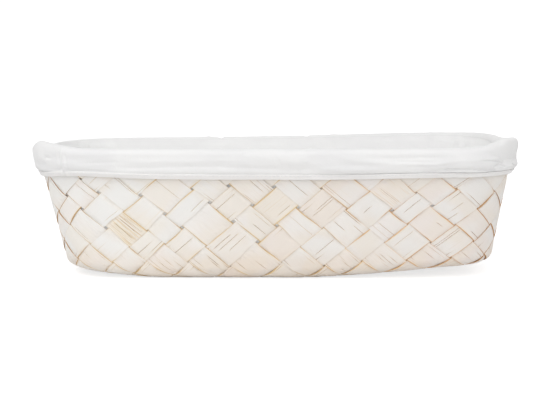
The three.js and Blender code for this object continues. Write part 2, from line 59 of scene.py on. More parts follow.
LEFT_END_LIFT, LEFT_LIFT_FROM, LEFT_LIFT_TO = 4.5, 90, 165
RIGHT_END_PUSH = 4.5
LEFT_END_PUSH = 3.0
PUSH_FROM, PUSH_TO = 100, 180
BACK_RIGHT_RIM_LIFT, RIM_LIFT_FROM, RIM_LIFT_TO = 4.0, (-60, 0), (180, 80)
SPINE_HALF_LENGTH, SPINE_HEIGHT = 110, 62
wall_lean = math.atan2(WALL_SPREAD, WALL_HEIGHT)
wall_slant = math.hypot(WALL_SPREAD, WALL_HEIGHT)
fold_turn = math.pi / 2 - wall_lean
fold_reach = FOLD_RADIUS * math.tan(fold_turn / 2)
side_lengths = np.array([BASE_LENGTH, BASE_WIDTH, BASE_LENGTH, BASE_WIDTH])
side_starts = np.concatenate([[0], np.cumsum(side_lengths)[:3]])
way_round = side_lengths.sum()


def wall_profile(way):
    """How far out and up the middle of the plait is, by the way up from the base edge."""
    turn = fold_turn * (way + fold_reach) / (2 * fold_reach)
    bend_out = FOLD_RADIUS * np.sin(turn) - fold_reach
    bend_up = FOLD_RADIUS * (1 - np.cos(turn))
    on_floor = way <= -fold_reach
    on_wall = way >= fold_reach
    out = np.where(on_floor, way, np.where(on_wall, way * math.sin(wall_lean), bend_out))
    up = np.where(on_floor, 0, np.where(on_wall, way * math.cos(wall_lean), bend_up))
    return out, up


def corner_radius(way):
    """The round corners' radius, by the way up from the base edge."""
    widening = (RIM_CORNER_RADIUS - BASE_CORNER_RADIUS) * way / wall_slant
    narrowing = BASE_CORNER_RADIUS * np.maximum(0, 1 + 2 * way / BASE_WIDTH)
    return np.where(way >= 0, BASE_CORNER_RADIUS + widening, narrowing)


def smooth_step(value, low, high):
    """0 up to low, 1 from high on, and an even curve between them."""
    share = np.clip((value - low) / (high - low), 0, 1)
    return share * share * (3 - 2 * share)


def bell(value, middle, half):
    """1 at the middle, falling evenly to either side."""
    return np.exp(-((value - middle) / half) ** 2)


def end_lift(x):
    """How high the floor's ends stand off the table."""
    right = RIGHT_END_LIFT * np.clip((x - RIGHT_LIFT_FROM) / RIGHT_LIFT_REACH, 0, 1) ** RIGHT_LIFT_CURVE
    return right + LEFT_END_LIFT * smooth_step(-x, LEFT_LIFT_FROM, LEFT_LIFT_TO)


def end_push(x):
    """How far the floor's ends are pushed to the right."""
    right = RIGHT_END_PUSH * smooth_step(x, PUSH_FROM, PUSH_TO)
    return right + LEFT_END_PUSH * smooth_step(-x, PUSH_FROM, PUSH_TO)


def ring_point(side, share, way):
    """A point of the ring at one way up, a share of the way along a side, in millimetres."""
    side, share, way = np.broadcast_arrays(side, share, way)
    out, up = wall_profile(way)
    is_long = side % 2 == 0
    half_along = np.where(is_long, BASE_LENGTH, BASE_WIDTH) / 2 + out
    half_across = np.where(is_long, BASE_WIDTH, BASE_LENGTH) / 2 + out
    radius = np.minimum(corner_radius(way), np.minimum(half_along, half_across))
    radius = np.maximum(radius, 1e-6)
    half_arc = radius * math.pi / 4
    straight = 2 * (half_along - radius)
    travelled = share * (straight + 2 * half_arc)
    first_turn = math.pi / 4 - travelled / radius
    last_turn = (travelled - half_arc - straight) / radius
    at_first = travelled < half_arc
    at_last = travelled > half_arc + straight
    along = travelled - half_arc - straight / 2
    along = np.where(at_first, radius - half_along - radius * np.sin(first_turn), along)
    along = np.where(at_last, half_along - radius + radius * np.sin(last_turn), along)
    turn = np.where(at_first, first_turn, np.where(at_last, last_turn, 0))
    across = radius - half_across - radius * np.cos(turn)
    across = np.where(at_first | at_last, across, -half_across)
    cosine = np.choose(side, [1, 0, -1, 0])
    sine = np.choose(side, [0, 1, 0, -1])
    x = along * cosine - across * sine
    y = along * sine + across * cosine
    bow_length = BASE_LENGTH / 2 + np.maximum(out, 0)
    bow_width = BASE_WIDTH / 2 + np.maximum(out, 0)
    y = y + SIDE_BOW * (1 - (x / bow_length) ** 2) * y / bow_width
    rise = np.clip(up / WALL_HEIGHT, 0, 1)
    z = up + PLAIT_HALF + end_lift(x) * (1 - rise)
    to_right = smooth_step(x, RIM_LIFT_FROM[0], RIM_LIFT_TO[0])
    to_back = smooth_step(y, RIM_LIFT_FROM[1], RIM_LIFT_TO[1])
    z = z + BACK_RIGHT_RIM_LIFT * to_right * to_back * rise
    x = x + end_push(x) * (1 - rise)
    return np.stack([x, y, z], axis=-1)


def surface_point(around, way):
    """A point of the tray's middle surface, by its place round the base edge and its way up."""
    around, way = np.broadcast_arrays(around, way)
    wrapped = np.mod(around, way_round)
    side = np.searchsorted(side_starts, wrapped, side="right") - 1
    return ring_point(side, (wrapped - side_starts[side]) / side_lengths[side], way)


def place_on(point_at, first, second, step=0.4):
    """Points of a surface with their directions away from a line along the tray's middle."""
    points = point_at(first, second)
    along_first = point_at(first + step, second) - point_at(first - step, second)
    along_second = point_at(first, second + step) - point_at(first, second - step)
    normal = np.cross(along_first, along_second)
    normal /= np.linalg.norm(normal, axis=-1, keepdims=True) + 1e-12
    spine = np.zeros_like(points)
    spine[..., 0] = np.clip(points[..., 0], -SPINE_HALF_LENGTH, SPINE_HALF_LENGTH)
    spine[..., 2] = SPINE_HEIGHT
    faces_in = np.sum(normal * (points - spine), axis=-1) < 0
    normal[faces_in] *= -1
    return points, normal


# The slats: flat strips split from bamboo culms, brushed with thin whitewash
# and plaited one over, one under. Each crosses the floor and climbs two walls,
# and is trimmed at the rim. The wash wears off at edges and along splits.
SLATS_ALONG = 10
SLATS_ACROSS = 4
RIGHT_LEANING_WIDTHS = [24, 18, 25, 27, 28, 28, 20, 29, 26, 23, 24, 23, 23, 25]
LEFT_LEANING_WIDTHS = [29, 25, 18, 25, 26, 24, 24, 24, 22, 33, 22, 24, 25, 24]
SLAT_THICKNESS = 0.65
CROSSING_OFFSET = 0.46
BUCKLE = 0.5
SLAT_GAP_AT_BASE = 1.2
SLAT_GAP_AT_RIM = 2.4
GAP_AT_FOLD = 0.45
LEAST_GAP = 0.15
HOLE_INSET = 2.8
HOLE_HALF_LENGTH, HOLE_FADE = 3, 24
PLAIT_RISE = 0.89
PLAIT_CREEP = 14.0
PLAIT_SINK = 5.7
CREEP_FROM = -30.0
CREEP_TO = 15.0
RIM_TRIM = 0.5
LINES_UP_A_WALL = 8
RAMP_REACH = 5.0
CELL_CROWN = 0.4
CROWN_AT_FOLD = 4
FOLD_AT, TORN_AT, FOLD_SPREAD = 5, 12, 7
ROW_SPACING = 2.2
EDGE_COLUMN = 0.7
EDGE_SLACK = (0.05, 1.05)
EDGE_ROUGHNESS, SHORT_ROUGH, LONG_ROUGH = 0.12, 2.3, 7.1
SPLITS_PER_SLAT = 7
SPLIT_NEAR_EDGE, SPLIT_NEAR_MIDDLE = (0.06, 0.2), (0.25, 0.75)
SPLIT_HALF_WIDTH = 0.35
SPLIT_DEPTH = 0.5
SPLITS_IN_LINE, SPLIT_REACHES = (1, 4), (9, 30)
SPLIT_STRENGTHS, SEEN_SPLIT_STRENGTHS = (0.5, 1.0), (0.6, 1.0)
TORN_STRENGTH, TORN_WAVE, TORN_SHIFT = 0.9, 6.5, 2.2
SLOW_WEAR_WAVE, QUICK_WEAR_WAVE = 47, 19
WORN_HALF_LENGTH, WORN_REACH = 14, 24
EDGE_WEAR_WAVES, EDGE_WEAR_RIPPLE, EDGE_WEAR_FROM = (14, 26), 8.3, (-1.3, 0.1)
# At the bend the edges wear bare, and their darker lines there also paint the shade of the gaps under the lifted
# edges
FOLD_EDGE_WEAR_AND_SHADE, FOLD_WEAR_AND_SHADE_WAVE = 1.25, 6.1
longer_by = SLATS_ALONG - SLATS_ACROSS
fold_count = 2 * (SLATS_ALONG + SLATS_ACROSS)
chance = np.random.default_rng(11)


def eased_lines(start, widths):
    """Where the slats' edges cross the base edge, each group of widths eased to fill its length."""
    groups = [
        (widths[:SLATS_ACROSS], BASE_WIDTH),
        (widths[SLATS_ACROSS:SLATS_ALONG], BASE_LENGTH - BASE_WIDTH),
        (widths[SLATS_ALONG:], BASE_WIDTH),
    ]
    lines = [start]
    for group, total in groups:
        for width in group:
            lines.append(lines[-1] + width * total / sum(group))
    return lines


sum_lines = eased_lines(0, RIGHT_LEANING_WIDTHS)
difference_lines = eased_lines(-BASE_WIDTH, LEFT_LEANING_WIDTHS)


def sum_line(index):
    """Where an edge of the right-leaning slats crosses the net's first diagonal coordinate."""
    return sum_lines[index]


def difference_line(index):
    """The same for the left-leaning slats and the second coordinate, from the front left corner."""
    return difference_lines[index + SLATS_ACROSS]


def on_fold(index, places):
    """The place round the base edge of one numbered line, from one rule for each side."""
    k = index % fold_count
    ends = [SLATS_ALONG, SLATS_ALONG + SLATS_ACROSS, 2 * SLATS_ALONG + SLATS_ACROSS, fold_count]
    side = next(n for n, end in enumerate(ends) if k < end)
    return places[side](k) + (index - k) / fold_count * way_round


def right_line(index):
    """Where a right-leaning line starts up the wall."""
    return on_fold(index, [
        lambda k: sum_line(k),
        lambda k: 2 * BASE_LENGTH - difference_line(2 * SLATS_ALONG - k),
        lambda k: way_round - sum_line(fold_count - k),
        lambda k: way_round + difference_line(k - fold_count),
    ])


def left_line(index):
    """Where a left-leaning line starts up the wall."""
    return on_fold(index, [
        lambda k: difference_line(k),
        lambda k: sum_line(k),
        lambda k: 2 * BASE_LENGTH - difference_line(2 * SLATS_ALONG - k),
        lambda k: way_round - sum_line(fold_count - k),
    ])


def crept_point(around, way):
    """A point of the plait, which crept round the walls and sank a little as it was bent up."""
    share = smooth_step(way, CREEP_FROM, CREEP_TO)
    return surface_point(around - PLAIT_CREEP * share, way - PLAIT_SINK * share)


def floor_point(x, y):
    """A point of the unfolded net over the floor, from its front left corner."""
    insets = np.stack([y, BASE_LENGTH - x, BASE_WIDTH - y, x])
    side = np.argmin(insets, axis=0)
    inset = np.min(insets, axis=0)
    along = np.choose(side, [x, y, BASE_LENGTH - x, BASE_WIDTH - y])
    trim = np.maximum(inset, 0)
    length = np.maximum(side_lengths[side] - 2 * trim, 1e-6)
    way = np.where(inset > 0, -inset, -inset * PLAIT_RISE)
    return crept_point(side_starts[side] + (along - trim) / length * side_lengths[side], way)


def wall_chart(side, s, d):
    """Place round and rise up one wall, from the net's two diagonal coordinates."""
    right = [s, 2 * BASE_LENGTH - d, way_round - s, way_round + d][side]
    left = [d, s, 2 * BASE_LENGTH - d, way_round - s][side]
    return (right + left) / 2, (left - right) / 2


def net_point(s, d, first_side, last_side):
    """A point of the plait from the net's diagonal coordinates, on the floor or up a slat's two walls."""
    points = floor_point((s + d) / 2, (s - d) / 2)
    for side in (first_side, last_side):
        around, rise = wall_chart(side, s, d)
        up_wall = crept_point(around, np.maximum(rise, 0) * PLAIT_RISE)
        points = np.where((rise > 0)[..., None], up_wall, points)
    return points


def slat_plan(is_sum, index):
    """Edges, sides and crossing lines of one slat, with whether it lies outside at each crossing."""
    if is_sum:
        edges = (sum_line(index), sum_line(index + 1))
        first = (index, 0 if index < SLATS_ALONG else 1, index < SLATS_ALONG)
        last = (fold_count - 1 - index, 3 if index < SLATS_ACROSS else 2, index >= SLATS_ACROSS)
        start = index if index < SLATS_ALONG else 2 * SLATS_ALONG - 1 - index
        end = -index if index < SLATS_ACROSS else index - 2 * SLATS_ACROSS + 1
        floor = [difference_line(k) for k in range(start, end - 1, -1)]
    else:
        edges = (difference_line(index), difference_line(index + 1))
        first = (index if index >= 0 else fold_count + index, 0 if index >= 0 else 3, index < 0)
        last = (2 * SLATS_ALONG - 1 - index, 1 if index >= longer_by else 2, index >= longer_by)
        start = index + 1 if index >= 0 else -index
        end = index + 2 * SLATS_ACROSS if index < longer_by else 2 * SLATS_ALONG - 1 - index
        floor = [sum_line(k) for k in range(start, end + 1)]

    def climb(fold, side, leans_right):
        lines = []
        for level in range(1, LINES_UP_A_WALL + 1):
            line = left_line(fold + level) if leans_right else right_line(fold + 1 - level)
            if side == 0:
                lines.append(line)
            elif side == 1:
                lines.append(2 * BASE_LENGTH - line if is_sum else line)
            elif side == 2:
                lines.append(2 * BASE_LENGTH - line if is_sum else way_round - line)
            else:
                lines.append(line - way_round if is_sum else way_round - line)
        return lines

    def is_outside(leans_right, level):
        return (level % 2 == 0) == leans_right

    lines = climb(*first)[::-1] + floor + climb(*last)
    outside = [is_outside(first[2], level) for level in range(LINES_UP_A_WALL - 1, -1, -1)]
    for _ in range(len(floor) - 1):
        outside.append(not outside[-1])
    outside += [is_outside(last[2], level) for level in range(LINES_UP_A_WALL)]
    top = (wall_slant - RIM_TRIM + PLAIT_SINK) / PLAIT_RISE
    turn = 1 if is_sum else -1
    past_front, past_right = (1, 2 * top * turn), (-1, 2 * (top + BASE_LENGTH))
    past_back, past_left = (1, -2 * (top + BASE_WIDTH) * turn), (-1, -2 * top)
    past_walls = [past_front, past_right, past_back, past_left]
    ends = [past_walls[first[1]], past_walls[last[1]]]
    return {
        "is_sum": is_sum, "edges": edges, "sides": (first[1], last[1]),
        "lines": lines, "outside": outside, "ends": ends,
        "climbs": [(first, climb(*first), False), (last, climb(*last), True)],
    }


# What the photographed side shows, by the numbers of the lines between slats,
# which count from the front left corner: holes where four slats stand apart, as
# (right line, left line), splits along a slat, as (own line, first crossing line,
# last), and cells where the wash is worn away, as (own line, crossing line, share).
HOLES = [
    (-2, 3), (-1, 4), (-1, 3), (0, 3), (0, 5), (1, 5), (2, 5), (2, 6), (2, 7),
    (3, 6), (3, 7), (3, 8), (4, 6), (4, 7), (4, 8), (6, 10), (7, 11),
]
SPLITS_LEANING_LEFT = [
    (3.72, -2.0, -0.9), (5.58, -0.2, 1.0), (5.55, 2.1, 3.05), (7.64, 2.3, 2.9),
    (6.43, 3.45, 4.0), (6.84, 3.2, 3.9), (8.5, 3.1, 3.9), (7.58, 4.0, 5.0),
    (8.42, 5.05, 5.55), (8.75, 5.55, 6.1), (9.4, 6.0, 7.15), (10.68, 7.55, 7.8),
    (11.95, 7.0, 7.7), (2.1, -0.8, -0.1), (3.21, 0.1, 0.94), (3.36, 0.05, 0.9),
    (3.52, 0.2, 0.97), (3.66, 0.05, 0.8), (3.82, 0.1, 0.95), (4.4, -1.7, -0.84),
    (11.2, 8.55, 9.4), (10.3, 5.1, 5.9), (1.5, 0.0, 0.28), (3.3, 2.45, 3.0),
    (3.12, 2.1, 2.6), (4.25, 3.6, 4.0), (4.75, 3.25, 3.75), (6.45, 5.1, 5.55),
    (7.3, 6.6, 7.0), (8.6, 7.2, 7.8),
]
SPLITS_LEANING_RIGHT = [
    (-0.15, 3.2, 3.9), (2.46, 3.9, 4.97), (1.75, 5.5, 5.97), (2.3, 5.9, 6.97),
    (3.37, 5.1, 5.85), (3.22, 5.05, 5.7), (3.6, 5.3, 5.95), (4.48, 8.05, 9.0),
    (5.53, 7.1, 8.0), (5.46, 9.3, 9.65), (7.3, 9.1, 9.95), (6.4, 10.2, 10.95),
    (8.27, 9.95, 11.0), (7.5, 11.25, 11.8), (-1.56, 4.0, 4.6), (-0.8, 2.0, 2.9),
    (7.7, 10.4, 11.4), (3.2, 7.1, 7.8), (3.42, 7.2, 7.95), (3.62, 7.1, 7.9),
    (3.8, 7.3, 7.9), (5.07, 5.2, 5.95), (6.07, 6.1, 6.95),
]
WORN_LEANING_LEFT = [(3.5, 0.5, 1.0), (10.5, 5.5, 0.6), (5.5, -1.5, 0.5), (12.5, 8.5, 0.5)]
WORN_LEANING_RIGHT = [
    (3.5, 5.5, 0.3), (3.5, 7.5, 0.4), (9.5, 9.5, 0.45), (7.5, 8.5, 0.3), (-0.5, 4.5, 0.4),
]


def own_and_cross(plan, own_line, cross_line, leans_right):
    """A place given by line numbers, as a share across this slat and a place along it, or None."""
    for (fold, _, end_leans_right), lines, is_last in plan["climbs"]:
        share = (own_line - fold + 0.5) % fold_count - 0.5
        if end_leans_right != leans_right or not -0.01 <= share <= 1.01:
            continue
        base = own_line - share
        level = cross_line - base if leans_right else base + 1 - cross_line
        if not 0 < level < len(lines):
            continue
        along = np.interp(level, np.arange(1, len(lines) + 1), lines)
        return (1 - share if is_last else share), along
    return None


def weave_height(plan, cross, at_fold):
    """+1 where the slat lies outside the one that it crosses, -1 inside, and crowned outside."""
    lines = np.array(plan["lines"])
    signs = np.where(plan["outside"], 1.0, -1.0)
    if lines[0] > lines[-1]:
        lines, signs = lines[::-1], signs[::-1]
    cell = np.clip(np.searchsorted(lines, cross) - 1, 0, len(signs) - 1)
    height = signs[cell]
    for n in range(1, len(lines) - 1):
        if signs[n - 1] == signs[n]:
            continue
        share = smooth_step(cross, lines[n] - RAMP_REACH, lines[n] + RAMP_REACH)
        near = np.abs(cross - lines[n]) < RAMP_REACH
        height = np.where(near, signs[n - 1] + (signs[n] - signs[n - 1]) * share, height)
    across_cell = (cross - lines[cell]) / (lines[cell + 1] - lines[cell])
    crown = CELL_CROWN * (1 + (CROWN_AT_FOLD - 1) * at_fold) * np.sin(math.pi * np.clip(across_cell, 0, 1)) ** 2
    return height + np.where(height > 0, height * crown, 0)


def slat_columns(width, known):
    """Places across a slat, as shares, with a narrow groove at each split."""
    inner = np.linspace(0.1, 0.9, 7)
    near_edge = chance.uniform(*SPLIT_NEAR_EDGE, SPLITS_PER_SLAT)
    loose = np.where(chance.uniform(0, 1, SPLITS_PER_SLAT) < 0.5, near_edge, 1 - near_edge)
    loose[0] = chance.uniform(*SPLIT_NEAR_MIDDLE)
    apart = 4 * SPLIT_HALF_WIDTH / width
    splits = []
    for split in list(known) + list(loose):
        if all(abs(split - other) > apart for other in splits):
            splits.append(split)
    splits = np.sort(splits)
    half = SPLIT_HALF_WIDTH / width
    clear = [u for u in inner if np.min(np.abs(splits - u)) > 2 * half]
    beside_edge = EDGE_COLUMN / width
    beside = [split + sign * half for split in splits for sign in (-1, 1)]
    return np.sort([0, beside_edge, 1 - beside_edge, 1] + clear + list(splits) + beside), splits


def slat_guide(name, plan):
    """The slat's middle surface as a grid, with what the node tree needs stored on it."""
    low, high = plan["edges"]
    width = (high - low) / math.sqrt(2)
    known = []
    for leans_right, table in ((True, SPLITS_LEANING_RIGHT), (False, SPLITS_LEANING_LEFT)):
        for own_line, start, stop in table:
            one = own_and_cross(plan, own_line, start, leans_right)
            other = own_and_cross(plan, own_line, stop, leans_right)
            if one and other:
                known.append((min(max(one[0], 0.05), 0.95), one[1], other[1]))
    shares, splits = slat_columns(width, [share for share, _, _ in known])
    own_flat = low + (high - low) * shares
    begin = plan["ends"][0][0] * own_flat + plan["ends"][0][1]
    finish = plan["ends"][1][0] * own_flat + plan["ends"][1][1]
    length = np.abs(finish - begin).mean() / math.sqrt(2)
    rows = int(length / ROW_SPACING)
    share_along = np.linspace(0, 1, rows)[:, None]
    cross = begin + (finish - begin) * share_along
    own = np.broadcast_to(own_flat, cross.shape)
    s, d = (own, cross) if plan["is_sum"] else (cross, own)
    rise = np.maximum(wall_chart(plan["sides"][0], s, d)[1], wall_chart(plan["sides"][1], s, d)[1])
    climb_share = np.clip(rise * PLAIT_RISE / wall_slant, 0, 1)
    gap = SLAT_GAP_AT_BASE + (SLAT_GAP_AT_RIM - SLAT_GAP_AT_BASE) * climb_share
    edge_phase = chance.uniform(0, 6.28, 8)
    crossings = np.sort(plan["lines"])
    above_fold = rise * PLAIT_RISE - PLAIT_SINK
    at_fold = bell(above_fold, FOLD_AT, FOLD_SPREAD)
    insets = []
    for side in (0, 1):
        slack = np.interp(cross, crossings, chance.uniform(*EDGE_SLACK, len(crossings)))
        rough = EDGE_ROUGHNESS * np.sin(cross / SHORT_ROUGH + edge_phase[4 + side])
        rough = rough * np.sin(cross / LONG_ROUGH + edge_phase[6 + side])
        insets.append(np.maximum(gap * slack + rough + GAP_AT_FOLD * at_fold, LEAST_GAP))
    for right, left in HOLES:
        for leans_right, own_line, cross_line in ((True, right, left), (False, left, right)):
            for nudge in (0.001, -0.001):
                found = own_and_cross(plan, own_line + nudge, cross_line, leans_right)
                if found:
                    near = np.clip(1 - (np.abs(cross - found[1]) - HOLE_HALF_LENGTH) / HOLE_FADE, 0, 1)
                    side = 0 if found[0] < 0.5 else 1
                    insets[side] = insets[side] * (1 - near) + HOLE_INSET * near
    inset_low, inset_high = insets[0] / math.sqrt(2), insets[1] / math.sqrt(2)
    own = own + inset_low * (1 - shares) - inset_high * shares
    s, d = (own, cross) if plan["is_sum"] else (cross, own)

    def point_at(first, second):
        return net_point(first, second, *plan["sides"])

    points, normal = place_on(point_at, s, d)
    height = weave_height(plan, cross, at_fold)
    open_split = np.zeros_like(cross)
    along = (cross - cross.min()) / math.sqrt(2)
    over_fold = bell(above_fold, TORN_AT, FOLD_SPREAD)
    for n, split in enumerate(splits):
        column = np.abs(shares - split) < 1e-9
        wave = np.sin(along / TORN_WAVE + edge_phase[1] + TORN_SHIFT * n)
        torn = TORN_STRENGTH * over_fold * np.maximum(wave, 0)
        open_split[:, column] = torn[:, column]
        for _ in range(chance.integers(*SPLITS_IN_LINE)):
            middle = chance.uniform(0, along.max())
            reach = chance.uniform(*SPLIT_REACHES)
            strength = chance.uniform(*SPLIT_STRENGTHS)
            fade = 1 - smooth_step(np.abs(along - middle), reach * 0.5, reach)
            if not any(abs(split - share) < 1e-6 for share, _, _ in known):
                open_split[:, column] = np.maximum(open_split[:, column], (strength * fade)[:, column])
    for share, one, other in known:
        column = np.abs(shares - share) < 1e-6
        middle, reach = (one + other) / 2, abs(other - one) / 2
        fade = 1 - smooth_step(np.abs(cross - middle), reach * 0.8, reach * 1.05)
        strength = chance.uniform(*SEEN_SPLIT_STRENGTHS)
        open_split[:, column] = np.maximum(open_split[:, column], (strength * fade)[:, column])
    slow_wear = np.sin(cross / SLOW_WEAR_WAVE + edge_phase[0])
    quick_wear = np.sin(cross / QUICK_WEAR_WAVE + edge_phase[5])
    worn = np.clip(0.25 * slow_wear + 0.2 * quick_wear - 0.2, 0, 1)
    for leans_right, table in ((True, WORN_LEANING_RIGHT), (False, WORN_LEANING_LEFT)):
        for own_line, cross_line, amount in table:
            found = own_and_cross(plan, own_line, cross_line, leans_right)
            if found:
                away = smooth_step(np.abs(cross - found[1]), WORN_HALF_LENGTH, WORN_REACH)
                worn = np.maximum(worn, amount * (1 - away))
    edge_wear_and_shade = []
    for side in (0, 1):
        wave = np.sin(along / chance.uniform(*EDGE_WEAR_WAVES) + chance.uniform(0, 6.28))
        wave = wave + 0.7 * np.sin(along / EDGE_WEAR_RIPPLE + edge_phase[side])
        # At the bend the edge wear is raised: partly real wear, partly painted shade of the gaps under the lifted
        # edges
        bent = 0.5 + 0.5 * np.sin(along / FOLD_WEAR_AND_SHADE_WAVE + edge_phase[2 + side])
        bent = FOLD_EDGE_WEAR_AND_SHADE * at_fold * bent
        edge_wear_and_shade.append(np.maximum(smooth_step(wave, chance.uniform(*EDGE_WEAR_FROM), 1.2), bent))
    edge_wear_and_shade = np.where(shares < 0.5, edge_wear_and_shade[0], edge_wear_and_shade[1])
    mesh = bpy.data.meshes.new(name)
    count = len(shares)
    faces = [
        (r * count + c, r * count + c + 1, (r + 1) * count + c + 1, (r + 1) * count + c)
        for r in range(rows - 1) for c in range(count - 1)
    ]
    mesh.from_pydata((points.reshape(-1, 3) * MM).tolist(), [], faces)
    store(mesh, "outward", "FLOAT_VECTOR", normal)
    for kept, values in (
        ("weave", height), ("split", open_split), ("edge_distance", np.minimum(shares, 1 - shares) * width),
        ("slat_tint", chance.uniform(0, 1)), ("worn", worn), ("edge_wear_and_shade", edge_wear_and_shade),
    ):
        store(mesh, kept, "FLOAT", np.broadcast_to(values, cross.shape))
    across_mm = (shares - 0.5) * width
    strip = np.stack([np.broadcast_to(across_mm, cross.shape), along], axis=-1).reshape(-1, 2) * MM
    uv = mesh.uv_layers.new(name="SlatUV")
    corner_vertex = np.zeros(len(mesh.loops), dtype=np.int64)
    mesh.loops.foreach_get("vertex_index", corner_vertex)
    uv.data.foreach_set("uv", (strip[corner_vertex] + chance.uniform(0, 5)).ravel())
    return mesh


def store(mesh, name, kind, values):
    """Keeps one value for each point of a mesh, for its node tree or its material to read."""
    attribute = mesh.attributes.new(name, kind, "POINT")
    field = "vector" if kind == "FLOAT_VECTOR" else "value"
    attribute.data.foreach_set(field, np.ascontiguousarray(values, dtype=np.float32).ravel())


def give(tree, node, **inputs):
    """Sets a node's inputs, by socket name, or i and a number, to other nodes' outputs or plain values."""
    for key, value in inputs.items():
        is_number = key[0] == "i" and key[1:].isdigit()
        socket = node.inputs[int(key[1:]) if is_number else key.replace("_", " ")]
        if isinstance(value, bpy.types.NodeSocket):
            tree.links.new(value, socket)
        else:
            socket.default_value = value


def add_node(tree, kind, settings=None, **inputs):
    """Adds a node, with its settings and inputs."""
    node = tree.nodes.new(kind)
    for key, value in (settings or {}).items():
        setattr(node, key, value)
    give(tree, node, **inputs)
    return node


def maths_in(tree, operation, first, second=0.5, clamp=False):
    """The result of one operation on other nodes' outputs or plain values."""
    settings = {"operation": operation, "use_clamp": clamp}
    return add_node(tree, "ShaderNodeMath", settings, i0=first, i1=second).outputs[0]


def scaled_in(tree, vector, factor):
    """A vector made longer by a factor."""
    return add_node(tree, "ShaderNodeVectorMath", {"operation": "SCALE"}, i0=vector, Scale=factor).outputs[0]


def new_tree(name, sockets):
    """A Geometry Nodes tree with a geometry in and out, and one named input for each size."""
    tree = bpy.data.node_groups.new(name, "GeometryNodeTree")
    tree.interface.new_socket("Geometry", in_out="INPUT", socket_type="NodeSocketGeometry")
    for socket_name, kind in sockets:
        tree.interface.new_socket(socket_name, in_out="INPUT", socket_type=kind)
    tree.interface.new_socket("Geometry", in_out="OUTPUT", socket_type="NodeSocketGeometry")
    return tree, tree.nodes.new("NodeGroupInput"), tree.nodes.new("NodeGroupOutput")


def slat_tree():
    """Weaves a slat's middle surface in and out, thickens it and opens its splits."""
    tree, given, result = new_tree("Slat from its middle surface", [
        ("Thickness", "NodeSocketFloat"), ("Weave Height", "NodeSocketFloat"),
        ("Split Depth", "NodeSocketFloat"), ("Buckle", "NodeSocketFloat"),
        ("Seed", "NodeSocketInt"), ("Material", "NodeSocketMaterial"),
    ])
    put = given.outputs

    def named(attribute, kind="FLOAT"):
        return add_node(tree, "GeometryNodeInputNamedAttribute", {"data_type": kind}, Name=attribute).outputs[0]

    outward = named("outward", "FLOAT_VECTOR")
    position = add_node(tree, "GeometryNodeInputPosition").outputs[0]
    seed = maths_in(tree, "MULTIPLY", put["Seed"], 7.31)
    buckle = add_node(
        tree, "ShaderNodeTexNoise", {"noise_dimensions": "4D"}, Vector=position, W=seed, Scale=42.0, Detail=1.0,
    )
    up_and_down = maths_in(tree, "SUBTRACT", buckle.outputs[0], 0.5)
    buckle_height = maths_in(tree, "MULTIPLY", up_and_down, put["Buckle"])
    woven = maths_in(tree, "MULTIPLY", named("weave"), put["Weave Height"])
    lifted = add_node(
        tree, "GeometryNodeSetPosition", Geometry=put["Geometry"],
        Offset=scaled_in(tree, outward, maths_in(tree, "ADD", woven, buckle_height)),
    )
    half_down = maths_in(tree, "MULTIPLY", put["Thickness"], -0.5)
    back = add_node(
        tree, "GeometryNodeSetPosition", Geometry=lifted.outputs[0],
        Offset=scaled_in(tree, outward, half_down),
    )
    turned = add_node(tree, "GeometryNodeFlipFaces", Mesh=back.outputs[0])
    raised = add_node(
        tree, "GeometryNodeExtrudeMesh", {"mode": "FACES"}, Mesh=back.outputs[0],
        Offset=outward, Offset_Scale=put["Thickness"], Individual=False,
    )
    depth = maths_in(tree, "MULTIPLY", named("split"), put["Split Depth"])
    grooved = add_node(
        tree, "GeometryNodeSetPosition", Geometry=raised.outputs[0],
        Selection=raised.outputs["Top"], Offset=scaled_in(tree, outward, maths_in(tree, "MULTIPLY", depth, -1.0)),
    )
    joined = add_node(tree, "GeometryNodeJoinGeometry")
    tree.links.new(grooved.outputs[0], joined.inputs[0])
    tree.links.new(turned.outputs[0], joined.inputs[0])
    merged = add_node(tree, "GeometryNodeMergeByDistance", Geometry=joined.outputs[0], Distance=1e-6)
    real = add_node(tree, "GeometryNodeRealizeInstances", Geometry=merged.outputs[0])
    painted = add_node(
        tree, "GeometryNodeSetMaterial", Geometry=real.outputs[0], Material=put["Material"],
    )
    give(tree, result, Geometry=painted.outputs[0])
    return tree


def linked(name, data):
    """A new object in the scene."""
    thing = bpy.data.objects.new(name, data)
    bpy.context.scene.collection.objects.link(thing)
    return thing


def made_by(tree, name, mesh, values):
    """Runs a tree on a mesh and returns the finished piece as a plain mesh object."""
    guide = linked(name + "_guide", mesh)
    modifier = guide.modifiers.new("Made", "NODES")
    modifier.node_group = tree
    for item in tree.interface.items_tree:
        if item.in_out == "INPUT" and item.name in values:
            modifier[item.identifier] = values[item.name]
    evaluated = guide.evaluated_get(bpy.context.evaluated_depsgraph_get())
    plain = bpy.data.meshes.new_from_object(evaluated)
    guide.modifiers.remove(modifier)
    bpy.data.objects.remove(guide)
    plain.name = name
    return linked(name, plain)


def range_in(tree, value, low, high, to_low=0.0, to_high=1.0):
    """A value eased from one range to another."""
    return add_node(
        tree, "ShaderNodeMapRange", {"interpolation_type": "SMOOTHSTEP"},
        Value=value, From_Min=low, From_Max=high, To_Min=to_low, To_Max=to_high,
    ).outputs[0]


def mixed_in(tree, factor, first, second, blend="MIX"):
    """A mix of two colours."""
    node = add_node(
        tree, "ShaderNodeMix", {"data_type": "RGBA", "blend_type": blend}, i0=factor, i6=first, i7=second,
    )
    return node.outputs[2]


def noise_in(tree, coords, scale, detail):
    """A soft random pattern, from 0 to 1."""
    return add_node(tree, "ShaderNodeTexNoise", Vector=coords, Scale=scale, Detail=detail).outputs[0]


